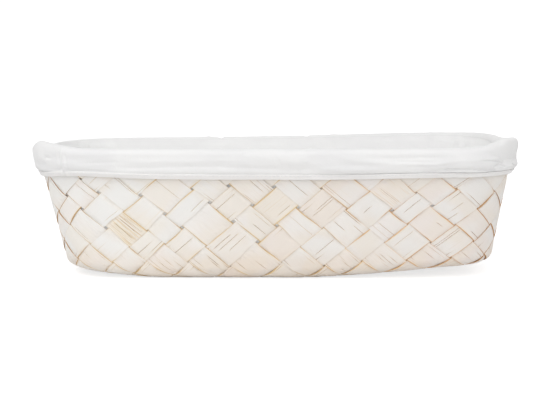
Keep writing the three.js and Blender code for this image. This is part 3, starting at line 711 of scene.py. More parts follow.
def new_shader_group(name, inputs, outputs):
    """A shader node group, with its named inputs as (name, kind, value) and its named outputs."""
    group = bpy.data.node_groups.new(name, "ShaderNodeTree")
    for socket_name, kind, default in inputs:
        socket = group.interface.new_socket(socket_name, in_out="INPUT", socket_type=kind)
        if default is not None:
            socket.default_value = default
    for socket_name, kind in outputs:
        group.interface.new_socket(socket_name, in_out="OUTPUT", socket_type=kind)
    return group, group.nodes.new("NodeGroupInput"), group.nodes.new("NodeGroupOutput")


def bamboo_grain_group():
    """Fine lines along a strip, from coordinates that run across it and along it in metres."""
    group, given, result = new_shader_group(
        "Bamboo grain",
        [("Strip", "NodeSocketVector", None), ("Fineness", "NodeSocketFloat", 1.0)],
        [("Lines", "NodeSocketFloat"), ("Cloud", "NodeSocketFloat"), ("Patch", "NodeSocketFloat")],
    )

    def stretched(across, along):
        settings = {"operation": "MULTIPLY"}
        node = add_node(group, "ShaderNodeVectorMath", settings, i0=given.outputs["Strip"], i1=(across, along, 1))
        return node.outputs[0]

    fibres = scaled_in(group, stretched(1500, 28), given.outputs["Fineness"])
    fine = add_node(group, "ShaderNodeTexNoise", Vector=fibres, Scale=1.0, Detail=3.0, Roughness=0.6)
    cloud, patch = noise_in(group, stretched(220, 30), 1.0, 2.0), noise_in(group, stretched(14, 32), 1.0, 1.0)
    give(group, result, Lines=fine.outputs[0], Cloud=cloud, Patch=patch)
    return group


bamboo_grain = bamboo_grain_group()


def principled(name):
    """A new material, with its nodes and its surface shader."""
    material = bpy.data.materials.new(name)
    material.use_nodes = True
    return material, material.node_tree, material.node_tree.nodes["Principled BSDF"]


def grain_in(tree, strip, fineness):
    """The bamboo grain, placed in a material."""
    return add_node(tree, "ShaderNodeGroup", {"node_tree": bamboo_grain}, Strip=strip, Fineness=fineness)


def bumped(tree, surface, strength, distance, height):
    """Gives a surface a fine relief, of the given distance in metres."""
    bump = add_node(tree, "ShaderNodeBump", Strength=strength, Distance=distance, Height=height)
    give(tree, surface, Normal=bump.outputs[0])


# The whitewash's own tones, from slat to slat and along one slat
WASH_DULL, WASH_CLEAR = (0.90, 0.855, 0.805, 1), (0.93, 0.90, 0.865, 1)
WASH_ROSY, WASH_GREY = (0.90, 0.82, 0.78, 1), (0.88, 0.88, 0.86, 1)
WASH_CREAM, WASH_WHITE = (0.90, 0.84, 0.745, 1), (0.915, 0.915, 0.90, 1)
WASH_THIN = (0.90, 0.83, 0.72, 1)
# Painted shade, multiplied into the wash: towards the right end, and low down near the floor
RIGHT_SHADE_TINT, LOW_SHADE_TINT = (0.955, 0.94, 0.93, 1), (0.945, 0.905, 0.865, 1)
# The bare bamboo that shows through it, and the painted shade inside a split
EDGE_STAIN = (0.85, 0.70, 0.47, 1)
OCHRE_DARK, OCHRE_LIGHT = (0.56, 0.36, 0.15, 1), (0.78, 0.59, 0.32, 1)
ORANGE_DARK, ORANGE_LIGHT = (0.52, 0.26, 0.10, 1), (0.76, 0.47, 0.24, 1)
END_BROWN = (0.42, 0.20, 0.06, 1)
SPLIT_SHADE = (0.17, 0.08, 0.03, 1)
# How far in from a slat's edge the wash wears, in millimetres, and how strongly
WEAR_REACH, LEAST_WEAR_REACH = 1.1, 0.12
WEAR_STRENGTH, LEAST_WEAR_STRENGTH = 0.85, 0.5
STAIN_REACH = 3.0
STREAKS_FROM, STREAK_SHARPNESS = 0.68, 9.0
# Where on the tray tones and painted shade change, in metres along it and above the floor
FAR_OUT_SPAN, MORE_WEAR_FAR_OUT, BROWN_FAR_OUT = (0.145, 0.175), 0.7, 0.75
RIGHT_SHADE_SPAN = (-0.13, 0.0)
LOW_SHADE_SPAN, LOW_SHADE_FADE = (0.010, 0.030), (0.05, 0.17)
ORANGE_SPAN = (-0.02, 0.15)


def whitewashed_bamboo():
    """Whitewash over bamboo, worn off at the slats' edges, along splits and in streaks, with painted shade in the
    splits, along the edges at the bend, low down and towards the right end.
    """
    material, tree, surface = principled("whitewashed bamboo")
    strip = add_node(tree, "ShaderNodeUVMap", {"uv_map": "SlatUV"}).outputs[0]
    grain, bands = grain_in(tree, strip, 1.0), grain_in(tree, strip, 0.5)

    def stored(name):
        return add_node(tree, "ShaderNodeAttribute", {"attribute_name": name}).outputs["Fac"]

    def maths(operation, *values, clamp=False):
        return maths_in(tree, operation, *values, clamp=clamp)

    def times(first, second, clamp=False):
        return maths("MULTIPLY", first, second, clamp=clamp)

    def plus(first, second):
        return maths("ADD", first, second)

    def eased(value, low, high, to_low=0.0, to_high=1.0):
        return range_in(tree, value, low, high, to_low, to_high)

    def mixed(factor, first, second, blend="MIX"):
        return mixed_in(tree, factor, first, second, blend)

    place = add_node(tree, "ShaderNodeTexCoord").outputs["Object"]
    placed = add_node(tree, "ShaderNodeSeparateXYZ", Vector=place)
    along_tray, above_floor = placed.outputs["X"], placed.outputs["Z"]
    far_out = eased(maths("ABSOLUTE", along_tray), *FAR_OUT_SPAN)
    edge, split, tint = stored("edge_distance"), stored("split"), stored("slat_tint")
    bare, edge_wear_and_shade = stored("worn"), stored("edge_wear_and_shade")
    lines, cloud, patch = grain.outputs["Lines"], grain.outputs["Cloud"], grain.outputs["Patch"]
    broad = bands.outputs["Lines"]

    edge_reach = plus(times(edge_wear_and_shade, WEAR_REACH), LEAST_WEAR_REACH)
    at_edge = maths("SUBTRACT", 1.0, maths("DIVIDE", edge, edge_reach), clamp=True)
    at_edge = times(at_edge, plus(times(edge_wear_and_shade, WEAR_STRENGTH), LEAST_WEAR_STRENGTH))
    at_edge = times(at_edge, plus(times(far_out, MORE_WEAR_FAR_OUT), 1.0))
    at_edge = times(at_edge, eased(cloud, 0.34, 0.56, 0.4, 1.35), clamp=True)
    streak_from = maths("SUBTRACT", STREAKS_FROM, times(bare, 0.2))
    streaks = times(maths("SUBTRACT", broad, streak_from), STREAK_SHARPNESS, clamp=True)
    streaks = times(streaks, plus(times(bare, 0.45), 0.2))
    worn = maths("MAXIMUM", streaks, at_edge)
    worn = maths("MAXIMUM", worn, times(split, 0.8), clamp=True)

    wash = mixed(eased(lines, 0.35, 0.7), WASH_DULL, WASH_CLEAR)
    wash = mixed(eased(tint, 0.0, 0.5, 0.5, 0.0), wash, WASH_ROSY)
    wash = mixed(eased(tint, 0.5, 1.0, 0.0, 0.45), wash, WASH_GREY)
    wash = mixed(eased(patch, 0.49, 0.58, 0.0, 0.4), wash, WASH_CREAM)
    wash = mixed(eased(patch, 0.40, 0.50, 0.5, 0.0), wash, WASH_WHITE)
    wash = mixed(times(eased(broad, 0.3, 0.6), bare), wash, WASH_THIN)
    # Painted shade: the wash darkens towards the right end, and low down near the floor
    wash = mixed(eased(along_tray, *RIGHT_SHADE_SPAN), wash, RIGHT_SHADE_TINT, "MULTIPLY")
    low_shade = eased(above_floor, *LOW_SHADE_SPAN, 1.0, 0.0)
    low_shade = times(low_shade, eased(along_tray, *LOW_SHADE_FADE, 1.0, 0.4))
    wash = mixed(low_shade, wash, LOW_SHADE_TINT, "MULTIPLY")
    halo = maths("SUBTRACT", 1.0, maths("DIVIDE", edge, STAIN_REACH), clamp=True)
    halo = times(times(halo, edge_wear_and_shade), eased(cloud, 0.35, 0.6, 0.1, 0.45))
    wash = mixed(halo, wash, EDGE_STAIN)

    mottled = eased(cloud, 0.35, 0.65)
    ochre, orange = mixed(mottled, OCHRE_DARK, OCHRE_LIGHT), mixed(mottled, ORANGE_DARK, ORANGE_LIGHT)
    bamboo = mixed(eased(along_tray, *ORANGE_SPAN), ochre, orange)
    bamboo = mixed(times(far_out, BROWN_FAR_OUT), bamboo, END_BROWN)
    colour = mixed(worn, wash, bamboo)
    # Painted shade in the splits' cracks
    colour = mixed(eased(split, 0.45, 1.0, 0.0, 0.85), colour, SPLIT_SHADE)
    give(tree, surface, Base_Color=colour, Roughness=eased(lines, 0.3, 0.7, 0.62, 0.78))
    bumped(tree, surface, 0.35, 0.0004, plus(lines, times(broad, 0.7)))
    return material


slat_nodes = slat_tree()
slat_finish = whitewashed_bamboo()
for number in range(1, SLATS_ALONG + SLATS_ACROSS + 1):
    for is_sum, side_name in ((True, "right"), (False, "left")):
        plan = slat_plan(is_sum, number - 1 if is_sum else number - 1 - SLATS_ACROSS)
        name = f"{side_name}_leaning_slat_{number:02d}"
        guide_mesh = slat_guide(name, plan)
        slat = made_by(slat_nodes, name, guide_mesh, {
            "Thickness": SLAT_THICKNESS * MM, "Weave Height": CROSSING_OFFSET * MM,
            "Split Depth": SPLIT_DEPTH * MM, "Buckle": BUCKLE * MM,
            "Seed": number + (50 if is_sum else 0), "Material": slat_finish,
        })
        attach(slat, "basket")
        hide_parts(f"{side_name}_slat_{number:02d}")

# The rim's two hoops: thin plain bamboo strips bent round outside and inside
# the trimmed slats and pinned to them with short pegs. The cuff hides them
# until the lining is lifted out.
HOOP_HEIGHT = 16.0
HOOP_THICKNESS = 1.8
HOOP_BEVEL = 0.5
HOOP_SPACING = 6.0
CROWDING, CROWDING_AT_ENDS = 0.06, 0.6
OUTER_HOOP_GAP = 0.45
INNER_HOOP_GAP = 1.15
BARE_DARK, BARE_LIGHT = (0.55, 0.37, 0.19, 1), (0.72, 0.56, 0.35, 1)
PEG_DARK, PEG_LIGHT = (0.34, 0.20, 0.09, 1), (0.50, 0.33, 0.17, 1)
outer_hoop_inside = PLAIT_HALF + OUTER_HOOP_GAP
outer_hoop_outside = outer_hoop_inside + HOOP_THICKNESS
inner_hoop_outside = -PLAIT_HALF - INNER_HOOP_GAP
inner_hoop_inside = inner_hoop_outside - HOOP_THICKNESS
hoop_low = wall_slant - HOOP_HEIGHT


def facing_out(mesh):
    """Turns a closed mesh's faces outwards."""
    work = bmesh.new()
    work.from_mesh(mesh)
    bmesh.ops.recalc_face_normals(work, faces=work.faces)
    work.to_mesh(mesh)
    work.free()


def ring_of_sections(name, around, sections):
    """A closed band swept round the tray, from a closed section of (way, out) at each stop."""
    count = sections.shape[1]
    points, normal = place_on(surface_point, around[:, None], sections[..., 0])
    points = points + normal * sections[..., 1:2]
    total = len(around)
    faces = []
    for i in range(total):
        for j in range(count):
            k = (j + 1) % count
            n = (i + 1) % total
            faces.append((i * count + j, n * count + j, n * count + k, i * count + k))
    mesh = bpy.data.meshes.new(name)
    mesh.from_pydata((points.reshape(-1, 3) * MM).tolist(), [], faces)
    steps = np.linalg.norm(np.diff(points, axis=1, append=points[:, :1]), axis=-1)
    along_section = np.concatenate([np.zeros((total, 1)), np.cumsum(steps, axis=1)], axis=1)
    uv = mesh.uv_layers.new(name="BandUV")
    coords = []
    for i in range(total):
        start = around[i]
        stop = around[i + 1] if i + 1 < total else around[0] + way_round
        for j in range(count):
            low, high = along_section[i, j], along_section[i, j + 1]
            coords += [(low, start), (low, stop), (high, stop), (high, start)]
    uv.data.foreach_set("uv", (np.array(coords) * MM).ravel())
    for polygon in mesh.polygons:
        polygon.use_smooth = True
    facing_out(mesh)
    return mesh


def shown_as(name, mesh, material):
    """A finished piece, at the origin, with one material."""
    mesh.materials.append(material)
    return linked(name, mesh)


def stops_round(spacing):
    """Even places round the base edge, closer together in the round corners."""
    places = []
    for side, start in enumerate(side_starts):
        length = side_lengths[side]
        count = int(length / spacing)
        share = np.arange(count) / count
        bend = share - CROWDING * np.sin(4 * math.pi * share) * (1 if side % 2 == 0 else CROWDING_AT_ENDS)
        places.append(start + bend * length)
    return np.sort(np.concatenate(places))


def bare_bamboo(name, strip_of, fineness, dark, light, grain_depth):
    """Unwashed bamboo, with its grain by a band's own UV map or by the place on the object."""
    material, tree, surface = principled(name)
    if strip_of == "Object":
        strip = add_node(tree, "ShaderNodeTexCoord").outputs["Object"]
    else:
        strip = add_node(tree, "ShaderNodeUVMap", {"uv_map": strip_of}).outputs[0]
    lines = grain_in(tree, strip, fineness).outputs["Lines"]
    colour = mixed_in(tree, range_in(tree, lines, 0.35, 0.68), dark, light)
    give(tree, surface, Base_Color=colour, Roughness=range_in(tree, lines, 0.3, 0.7, 0.5, 0.7))
    bumped(tree, surface, 0.3, grain_depth, lines)
    return material


hoop_finish = bare_bamboo("plain bamboo", "BandUV", 0.6, BARE_DARK, BARE_LIGHT, 0.0004)
hoop_around = stops_round(HOOP_SPACING)
for name, inside, outside, node in (
    ("outer_hoop", outer_hoop_inside, outer_hoop_outside, "rim_outer_hoop"),
    ("inner_hoop", inner_hoop_inside, inner_hoop_outside, "rim_inner_hoop"),
):
    low, high = hoop_low, wall_slant
    outline = [
        (low + HOOP_BEVEL, inside), (low, inside + HOOP_BEVEL), (low, outside - HOOP_BEVEL),
        (low + HOOP_BEVEL, outside), (high - HOOP_BEVEL, outside), (high, outside - HOOP_BEVEL),
        (high, inside + HOOP_BEVEL), (high - HOOP_BEVEL, inside),
    ]
    sections = np.broadcast_to(np.array(outline), (len(hoop_around), len(outline), 2))
    hoop = shown_as(name, ring_of_sections(name, hoop_around, sections), hoop_finish)
    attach(hoop, "basket")
    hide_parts(node)

peg_finish = bare_bamboo("peg bamboo", "Object", 0.8, PEG_DARK, PEG_LIGHT, 0.0003)
for node_name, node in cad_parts.items():
    if node_name.startswith("rim_peg"):
        node.data.materials.clear()
        node.data.materials.append(peg_finish)

# The lining: plain white cotton, cut as a floor and four side panels that are
# sewn together at the corners. It lies loose against the plait inside.
CLOTH_THICKNESS = 0.9
CREST_RADIUS = 0.95
PATTERN_CLOTH_HALF = 0.6
WALL_CLOTH_GAP = 1.4
BEND_CLOTH_GAP = 3.2
FLOOR_CLOTH_GAP = 0.3
FLOOR_CLOTH_INSET = 22.0
BELOW_HOOP, HOOP_STEP_SLOPE = 1, 0.8
SEAM_TUCK = 0.3
BEND_ROWS, WALL_ROWS, CLOTH_SPACING = 28, 40, 3
TOWARDS_SLATS = 1.4
ROOM_FULL_AT, ROOM_LESS_FROM, ROOM_GONE_AT = 27, 70, 98
TOP_ROOM_FROM, TOP_ROOM_FULL_AT, TOP_FREE_TO, TOP_HELD_FROM = 55, 88, 99.5, 103.5
SEAM_FREE_FROM, SEAM_FREE_AT = 1, 10
SLACK_TO, SLACK_GONE_AT = 10, 42
WRINKLE_DEPTH, FOLD_DEPTH, PLEAT_DEPTH, TOP_FOLD_DEPTH, TOP_INWARD = 1.7, 2.0, 2.4, 0.5, 0.4
PLEAT_PITCH, PLEAT_LEAN = 12.5, 0.12
TUCK_TOP, TUCK_LEAN, BEFORE_START = 100, 0.08, 40
FRONT_LOOSENESS = 0.6
FRONT_FROM, FRONT_FULL_AT = 30, 60
FLOOR_SPACING = 8.0
FLOOR_RINGS, FLOOR_FIRST_RING = 14, 0.03
FLOOR_RIPPLE = 0.35
INSIDE_DULL, INSIDE_CLEAR, INSIDE_GLOW = (0.90, 0.895, 0.895, 1), (0.93, 0.93, 0.92, 1), 0.15
cloth_half = CLOTH_THICKNESS / 2
hoop_cloth_depth = CREST_RADIUS - inner_hoop_inside
wall_cloth_depth = PLAIT_HALF + WALL_CLOTH_GAP + PATTERN_CLOTH_HALF
bend_cloth_depth = PLAIT_HALF + BEND_CLOTH_GAP + PATTERN_CLOTH_HALF
floor_cloth_depth = PLAIT_HALF + FLOOR_CLOTH_GAP + PATTERN_CLOTH_HALF


def ripples(seed, count, shortest, longest):
    """A sum of plane waves with a fixed seed, as a function of two lengths in millimetres."""
    pick = np.random.default_rng(seed)
    waves = []
    for _ in range(count):
        length = pick.uniform(shortest, longest)
        angle = pick.uniform(0, math.pi)
        start = pick.uniform(0, 6.28)
        waves.append((math.cos(angle) * 2 * math.pi / length, math.sin(angle) * 2 * math.pi / length, start))
    return lambda first, second: sum(np.sin(a * first + b * second + c) for a, b, c in waves) / math.sqrt(count)


wall_ripples = ripples(4, 14, 24, 90)
hanging_folds = ripples(23, 10, 15, 55)
# Tucks that the folded top pulls into the lining: place round, how far in, half width
TUCKS = [
    (711, 1.9, 2.0), (634, 1.5, 1.8), (750, -0.9, 6.0), (609, -0.9, 4.0), (588, 1.1, 3.0),
    (668, 0.9, 6.0), (838, 2.2, 3.0), (827, 1.7, 3.5), (812, 1.1, 5.0), (850, 1.8, 3.0),
    (505, 1.7, 5.0), (492, 2.2, 3.5), (480, 1.8, 3.0), (525, 1.0, 8.0), (560, 0.8, 5.0),
    (352, 2.0, 3.0), (366, 1.6, 4.0), (8, 1.8, 3.5), (961, 2.0, 3.0),
]


def cotton(name, dull, clear, glow=0.0):
    """Plain cotton, a little uneven in tone, with a fine weave and small wrinkles."""
    material, tree, surface = principled(name)
    coords = add_node(tree, "ShaderNodeTexCoord").outputs["Object"]
    colour = mixed_in(tree, range_in(tree, noise_in(tree, coords, 18.0, 2.0), 0.35, 0.65), dull, clear)
    give(tree, surface, Base_Color=colour, Roughness=0.9, Sheen_Weight=0.25, Sheen_Roughness=0.5)
    give(tree, surface, Subsurface_Weight=glow, Subsurface_Radius=(1, 1, 1), Subsurface_Scale=0.003)
    weave, wrinkle = noise_in(tree, coords, 1400.0, 2.0), noise_in(tree, coords, 55.0, 3.0)
    bumped(tree, surface, 0.5, 0.002, maths_in(tree, "ADD", maths_in(tree, "MULTIPLY", weave, 0.25), wrinkle))
    return material


inside_cloth = cotton("white cotton inside", INSIDE_DULL, INSIDE_CLEAR, glow=INSIDE_GLOW)


def closed_cloth(name, points, faces):
    """A smooth closed mesh from points in metres."""
    mesh = bpy.data.meshes.new(name)
    mesh.from_pydata(points, [], faces)
    facing_out(mesh)
    for polygon in mesh.polygons:
        polygon.use_smooth = True
    return mesh


def cloth_from(name, outer, inner):
    """A closed sheet of cloth between two grids of points, in metres."""
    rows, columns = outer.shape[:2]
    points = np.concatenate([outer.reshape(-1, 3), inner.reshape(-1, 3)]).tolist()
    shift = rows * columns

    def at(i, j):
        return i * columns + j

    faces = []
    for i in range(rows - 1):
        for j in range(columns - 1):
            corners = (at(i, j), at(i + 1, j), at(i + 1, j + 1), at(i, j + 1))
            faces.append(corners)
            faces.append(tuple(shift + corners[n] for n in (0, 3, 2, 1)))
    border = [at(0, j) for j in range(columns)] + [at(i, columns - 1) for i in range(1, rows)]
    border += [at(rows - 1, j) for j in range(columns - 2, -1, -1)] + [at(i, 0) for i in range(rows - 2, 0, -1)]
    for a, b in zip(border, border[1:] + border[:1]):
        faces.append((a, b, shift + b, shift + a))
    mesh = closed_cloth(name, points, faces)
    mesh.set_sharp_from_angle(angle=math.radians(50))
    return mesh


hoop_foot = hoop_low - BELOW_HOOP
hoop_step = (hoop_cloth_depth - wall_cloth_depth) / (HOOP_STEP_SLOPE * WALL_SPREAD / wall_slant)
depth_stops = [
    (-FLOOR_CLOTH_INSET + SEAM_TUCK, floor_cloth_depth), (-fold_reach, bend_cloth_depth),
    (fold_reach, bend_cloth_depth), (2 * fold_reach, wall_cloth_depth),
    (hoop_foot - hoop_step, wall_cloth_depth), (hoop_foot, hoop_cloth_depth), (wall_slant, hoop_cloth_depth),
]
way_stops = np.concatenate([
    np.linspace(-FLOOR_CLOTH_INSET + SEAM_TUCK, 2 * fold_reach, BEND_ROWS),
    np.linspace(2 * fold_reach, wall_slant - SEAM_TUCK, WALL_ROWS)[1:],
])
panel_depth = np.interp(way_stops, *zip(*depth_stops))


def arc_share(side, way):
    """The share of a side that one of its round corners' halves takes up."""
    radius = corner_radius(way)
    half_arc = radius * math.pi / 4
    straight = side_lengths[side] + 2 * wall_profile(way)[0] - 2 * radius
    return half_arc / (straight + 2 * half_arc)


seam_reach = float(arc_share(0, wall_slant / 2)) * BASE_LENGTH
corner_places = np.concatenate([side_starts, [way_round]])
room = np.minimum(
    smooth_step(way_stops, fold_reach, ROOM_FULL_AT), 1 - smooth_step(way_stops, ROOM_LESS_FROM, ROOM_GONE_AT),
)
top_room = smooth_step(way_stops, TOP_ROOM_FROM, TOP_ROOM_FULL_AT)
top_room = top_room * (1 - smooth_step(way_stops, TOP_FREE_TO, TOP_HELD_FROM))
for side, place in enumerate(("front", "right", "back", "left")):
    past_corner = seam_reach if side % 2 == 0 else -seam_reach
    first_seam = side_starts[side] + past_corner
    last_seam = side_starts[side] + side_lengths[side] - past_corner
    around = np.linspace(first_seam, last_seam, int((last_seam - first_seam) / CLOTH_SPACING))
    across = around[:, None]
    points, normal = place_on(surface_point, across, way_stops[None, :])
    free = smooth_step(np.minimum(around - first_seam, last_seam - around), SEAM_FREE_FROM, SEAM_FREE_AT)[:, None]
    wrinkle = np.maximum(wall_ripples(across, way_stops[None, :]) + 0.1, 0) ** 1.5
    folds = np.maximum(hanging_folds(across, way_stops[None, :] * 0.2), 0) ** 1.3
    from_corner = np.min(np.abs(across - corner_places[None, :]), axis=1)
    slack_cloth = (1 - smooth_step(from_corner, SLACK_TO, SLACK_GONE_AT))[:, None]
    pleat_turn = 2 * math.pi * (across + way_stops[None, :] * PLEAT_LEAN) / PLEAT_PITCH
    pleats = np.maximum(np.sin(pleat_turn), 0) ** 1.5
    leaning = (way_stops - TUCK_TOP) * TUCK_LEAN
    tucks = sum(
        depth * bell(np.mod(across - spot + BEFORE_START, way_round) - BEFORE_START, leaning, width)
        for spot, depth, width in TUCKS
    )
    loose = FRONT_LOOSENESS if place == "front" else 1.0
    inward = loose * (WRINKLE_DEPTH * wrinkle + FOLD_DEPTH * folds + PLEAT_DEPTH * pleats * slack_cloth)
    pulled = np.maximum(tucks + TOP_FOLD_DEPTH * loose * folds + TOP_INWARD, 0) * free * top_room
    swell = (TOWARDS_SLATS - inward * free) * room - pulled
    middle = points - normal * panel_depth[None, :, None]
    in_front = smooth_step(-points[..., 1], FRONT_FROM, FRONT_FULL_AT)
    against_slats = swell + (TOWARDS_SLATS * room - swell) * in_front
    outer_face = middle + normal * (against_slats[..., None] + cloth_half)
    inner_face = middle + normal * (swell[..., None] - cloth_half)
    panel_mesh = cloth_from(f"lining_{place}_panel", outer_face * MM, inner_face * MM)
    panel = shown_as(f"lining_{place}_panel", panel_mesh, inside_cloth)
    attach(panel, "liner")
    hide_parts(f"liner_wall_{place}")

floor_level = PLAIT_HALF + floor_cloth_depth
floor_around = stops_round(FLOOR_SPACING)
edge = surface_point(floor_around, np.full_like(floor_around, -FLOOR_CLOTH_INSET))
shares = np.linspace(FLOOR_FIRST_RING, 1, FLOOR_RINGS)
flat = edge[:, None, :2] * shares[None, :, None]
lift = FLOOR_RIPPLE * (wall_ripples(flat[..., 0], flat[..., 1]) + 1)
raised = end_lift(flat[..., 0] - end_push(flat[..., 0]))
level = floor_level + raised + lift * np.minimum(1, (1 - shares) * 5)[None, :]
upper = np.concatenate([flat, (level + cloth_half)[..., None]], axis=-1)
lower = np.concatenate([flat, (level - cloth_half)[..., None]], axis=-1)


def disc_of_cloth(name, upper, lower):
    """A closed round sheet from rings of points that share a middle."""
    count, rings = upper.shape[:2]
    middles = [upper[:, 0].mean(0)[None], lower[:, 0].mean(0)[None]]
    points = np.concatenate([upper.reshape(-1, 3), lower.reshape(-1, 3)] + middles)
    shift = count * rings
    faces = []
    for i in range(count):
        n = (i + 1) % count
        for j in range(rings - 1):
            corners = (i * rings + j, i * rings + j + 1, n * rings + j + 1, n * rings + j)
            faces.append(corners)
            faces.append(tuple(shift + corners[m] for m in (0, 3, 2, 1)))
        faces.append((2 * shift, i * rings, n * rings))
        faces.append((2 * shift + 1, shift + n * rings, shift + i * rings))
        last = rings - 1
        faces.append((i * rings + last, shift + i * rings + last, shift + n * rings + last, n * rings + last))
    return closed_cloth(name, (points * MM).tolist(), faces)


lining_floor = shown_as("lining_floor", disc_of_cloth("lining_floor", upper, lower), inside_cloth)
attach(lining_floor, "liner")
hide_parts("liner_floor")

# The cuff: the lining's top, folded outwards over the rim's hoops. It is drawn
# over them by hand, so it stands up in lumps at the corners, wrinkles along
# the rim, and lies against the slats again at its hem.
CUFF_DROP = 21.0
CUFF_SAG = 1.6
HEM_WIDTH = 4.0
HEM_OUT = 2.5
CUFF_END = 0.6
CREST_HEIGHT, CREST_FOOT = 2.6, 1.2
CREST_FLAT, CREST_ROUND = 0.75, 0.8
CREST_POINTS, DROP_POINTS = 15, 47
DRAWN_IN_FROM, DRAWN_IN_TO = 1.5, -3.5
LUMP_BLEND = np.linspace(-5, 5, 11)
CORNER_FULL_TO, CORNER_GONE_AT = 18, 70
CALM_TO, RESTLESS_FROM = 90, 240
BELOW_CREST, OFF_HOOP = (-2, 8), (-3, 4)
LONG_WAVES, FINE_WAVES, CORNER_FOLDS, LEAST_SWELL = 0.5, 0.26, 0.5, 0.15
CORNER_FOLD_WAVE, CORNER_FOLD_SLOPE = 1.9, 0.05
CREST_SWELL = 0.8
MOST_ONTO_HOOP, MORE_BELOW_HOOP = 0.25, 0.5
FOLD_ABOVE_HEM, FOLD_HALF = 0.7, 0.9
OVERHANG_ABOVE, OVERHANG_HALF = 1.7, 1.1
CUFF_SPACING, FINE_STOPS = 1.8, [(8, 24, 0.61), (330, 400, 1.13)]
# The cuff is the lining's own cotton in a darker tone: painted shade
CUFF_SHADE_DULL, CUFF_SHADE_CLEAR = (0.85, 0.845, 0.845, 1), (0.885, 0.88, 0.875, 1)
cuff_shaded_cloth = cotton("white cotton of the cuff, darker for painted shade", CUFF_SHADE_DULL, CUFF_SHADE_CLEAR)
cuff_depth = outer_hoop_outside + CREST_RADIUS
cuff_around = [stops_round(CUFF_SPACING)] + [np.arange(*stops) for stops in FINE_STOPS]
cuff_around = np.sort(np.concatenate(cuff_around))
wrinkle_along = ripples(9, 12, 30, 120)
wrinkle_fine = ripples(17, 16, 9, 26)
# How much higher than the hoops' top the cloth stands, by the place round
LUMPS = [
    (0, 4.2), (8, 3.2), (16, 2.4), (24, 0.8), (40, 0.2), (176, 0.0), (290, 0.4), (325, 1.0), (338, 2.5),
    (348, 6.2), (356, 7.6), (374, 7.6), (392, 5.8), (420, 4.4), (470, 2.2), (500, 0.8), (600, 0.3),
    (700, 0.2), (800, -0.6), (838, -1.2), (870, -2.0), (910, -2.6), (938, -1.0), (952, 3.2), (962, 5.6),
    (972, 4.2),
]
# How much higher the hem's lower edge runs than an even curve
HEM_WANDER = [
    (0, -1.0), (12, 0.3), (30, 1.2), (75, 0.2), (170, 0.6), (280, -0.4), (330, -1.2), (372, -0.4), (420, 0.2),
    (500, -0.3), (600, 0.5), (700, -0.4), (838, 0.3), (900, -0.4), (940, -1.4), (960, -1.8), (972, -1.0),
]
# Creases pressed into the cuff: from a place round and a way up, to another,
# with the crease's depth and half its width; a ridge has a negative depth
CREASES = [
    (303, 92.6, 321, 92.3, 2.0, 0.7), (323, 92.2, 343, 91.4, 2.4, 0.75), (312, 96.0, 344, 95.2, -0.8, 2.0),
    (150, 101.5, 203, 101.5, -0.9, 4.5), (210, 93.6, 257, 93.4, -0.8, 2.6), (262, 98.0, 300, 97.0, -0.7, 3.2),
    (203, 87.6, 283, 89.8, 0.6, 0.8), (283, 89.8, 308, 92.5, 0.8, 0.8),
    (343, 106.5, 358, 104.5, 1.3, 1.2), (345, 97.0, 352, 92.6, 1.4, 0.9), (348, 100.6, 382, 99.0, 2.8, 1.2),
    (350, 94.2, 392, 92.8, -2.0, 2.5), (350, 103.8, 392, 104.6, 0.9, 2.2), (346, 108.0, 351, 98.5, 1.5, 1.0),
    (333, 105.5, 347, 102.0, 1.3, 1.0), (329, 99.5, 346, 98.4, 1.1, 0.9), (395, 106.0, 430, 101.0, 0.9, 1.6),
    (358, 106.5, 362, 99.0, 1.1, 1.0), (339, 108.5, 349, 105.0, 1.2, 1.0), (340, 93.8, 350, 96.2, 0.9, 0.8),
    (33, 92.0, 48, 91.0, 0.5, 1.1), (3, 91.5, 18, 92.3, 0.4, 1.0), (-8, 103.0, 6, 101.0, 0.8, 1.1),
    (17.4, 86.0, 16.8, 108.5, -1.9, 0.65), (14.8, 88.0, 14.0, 106.0, 0.6, 0.9),
    (20.2, 88.0, 19.8, 106.0, 0.4, 0.9), (199, 99.5, 201, 89.0, 0.7, 1.4),
    (176, 104.5, 180, 96.0, 0.4, 1.2), (136, 104.0, 134, 95.0, 0.3, 1.5),
    (225, 103.0, 262, 97.0, -0.6, 2.6), (70, 99.0, 150, 100.5, -0.4, 2.2), (110, 95.5, 180, 94.0, 0.45, 1.8),
    (232, 101.0, 300, 103.0, 0.45, 2.0), (300, 99.0, 345, 100.0, -0.7, 2.6), (262, 99.5, 296, 98.6, 0.5, 1.2),
    (275, 95.2, 305, 95.8, 0.45, 1.2), (60, 94.0, 118, 95.5, 0.3, 1.4), (30, 97.5, 60, 99.0, 0.35, 1.3),
    (357, 99.4, 363, 98.6, 1.7, 0.7), (361, 95.2, 367, 92.2, 1.7, 0.7),
    (352, 104.4, 376, 103.2, 1.3, 1.0), (711, 98.0, 713, 112.0, 1.2, 1.6), (634, 98.0, 635, 112.0, 1.0, 1.6),
]
# How far the cuff bags outwards, by the place round
BAGGY = [
    (0, 0.3), (40, 0.15), (150, 0.3), (260, 0.5), (300, 0.9), (325, 1.4), (342, 1.0), (352, 1.3), (364, 1.0),
    (376, 0.1), (398, -0.3), (430, 0.2), (500, 0.1), (900, 0.1), (945, 0.4), (972, 0.3),
]
# How deep the fold above the hem is, and how far the cloth hangs down over it:
# place, depth, overhang
HEM_FOLD = [
    (0, 0.4, 0.2), (60, 0.35, 0.1), (240, 0.4, 0.1), (285, 0.7, 0.4), (303, 1.2, 1.0), (340, 1.4, 1.3),
    (352, 0.9, 0.6), (400, 0.5, 0.2), (972, 0.4, 0.2),
]
# Narrow dips along the rim's crest, where the cloth is pinched: place, depth, half width
PINCHES = [
    (711, 1.9, 1.6), (722, -0.8, 3.0), (634, 1.5, 1.5), (609, -0.5, 4.0), (199, 0.5, 2.0), (346, 0.8, 1.8),
    (430, 0.9, 3.0), (951, 0.8, 2.5),
]


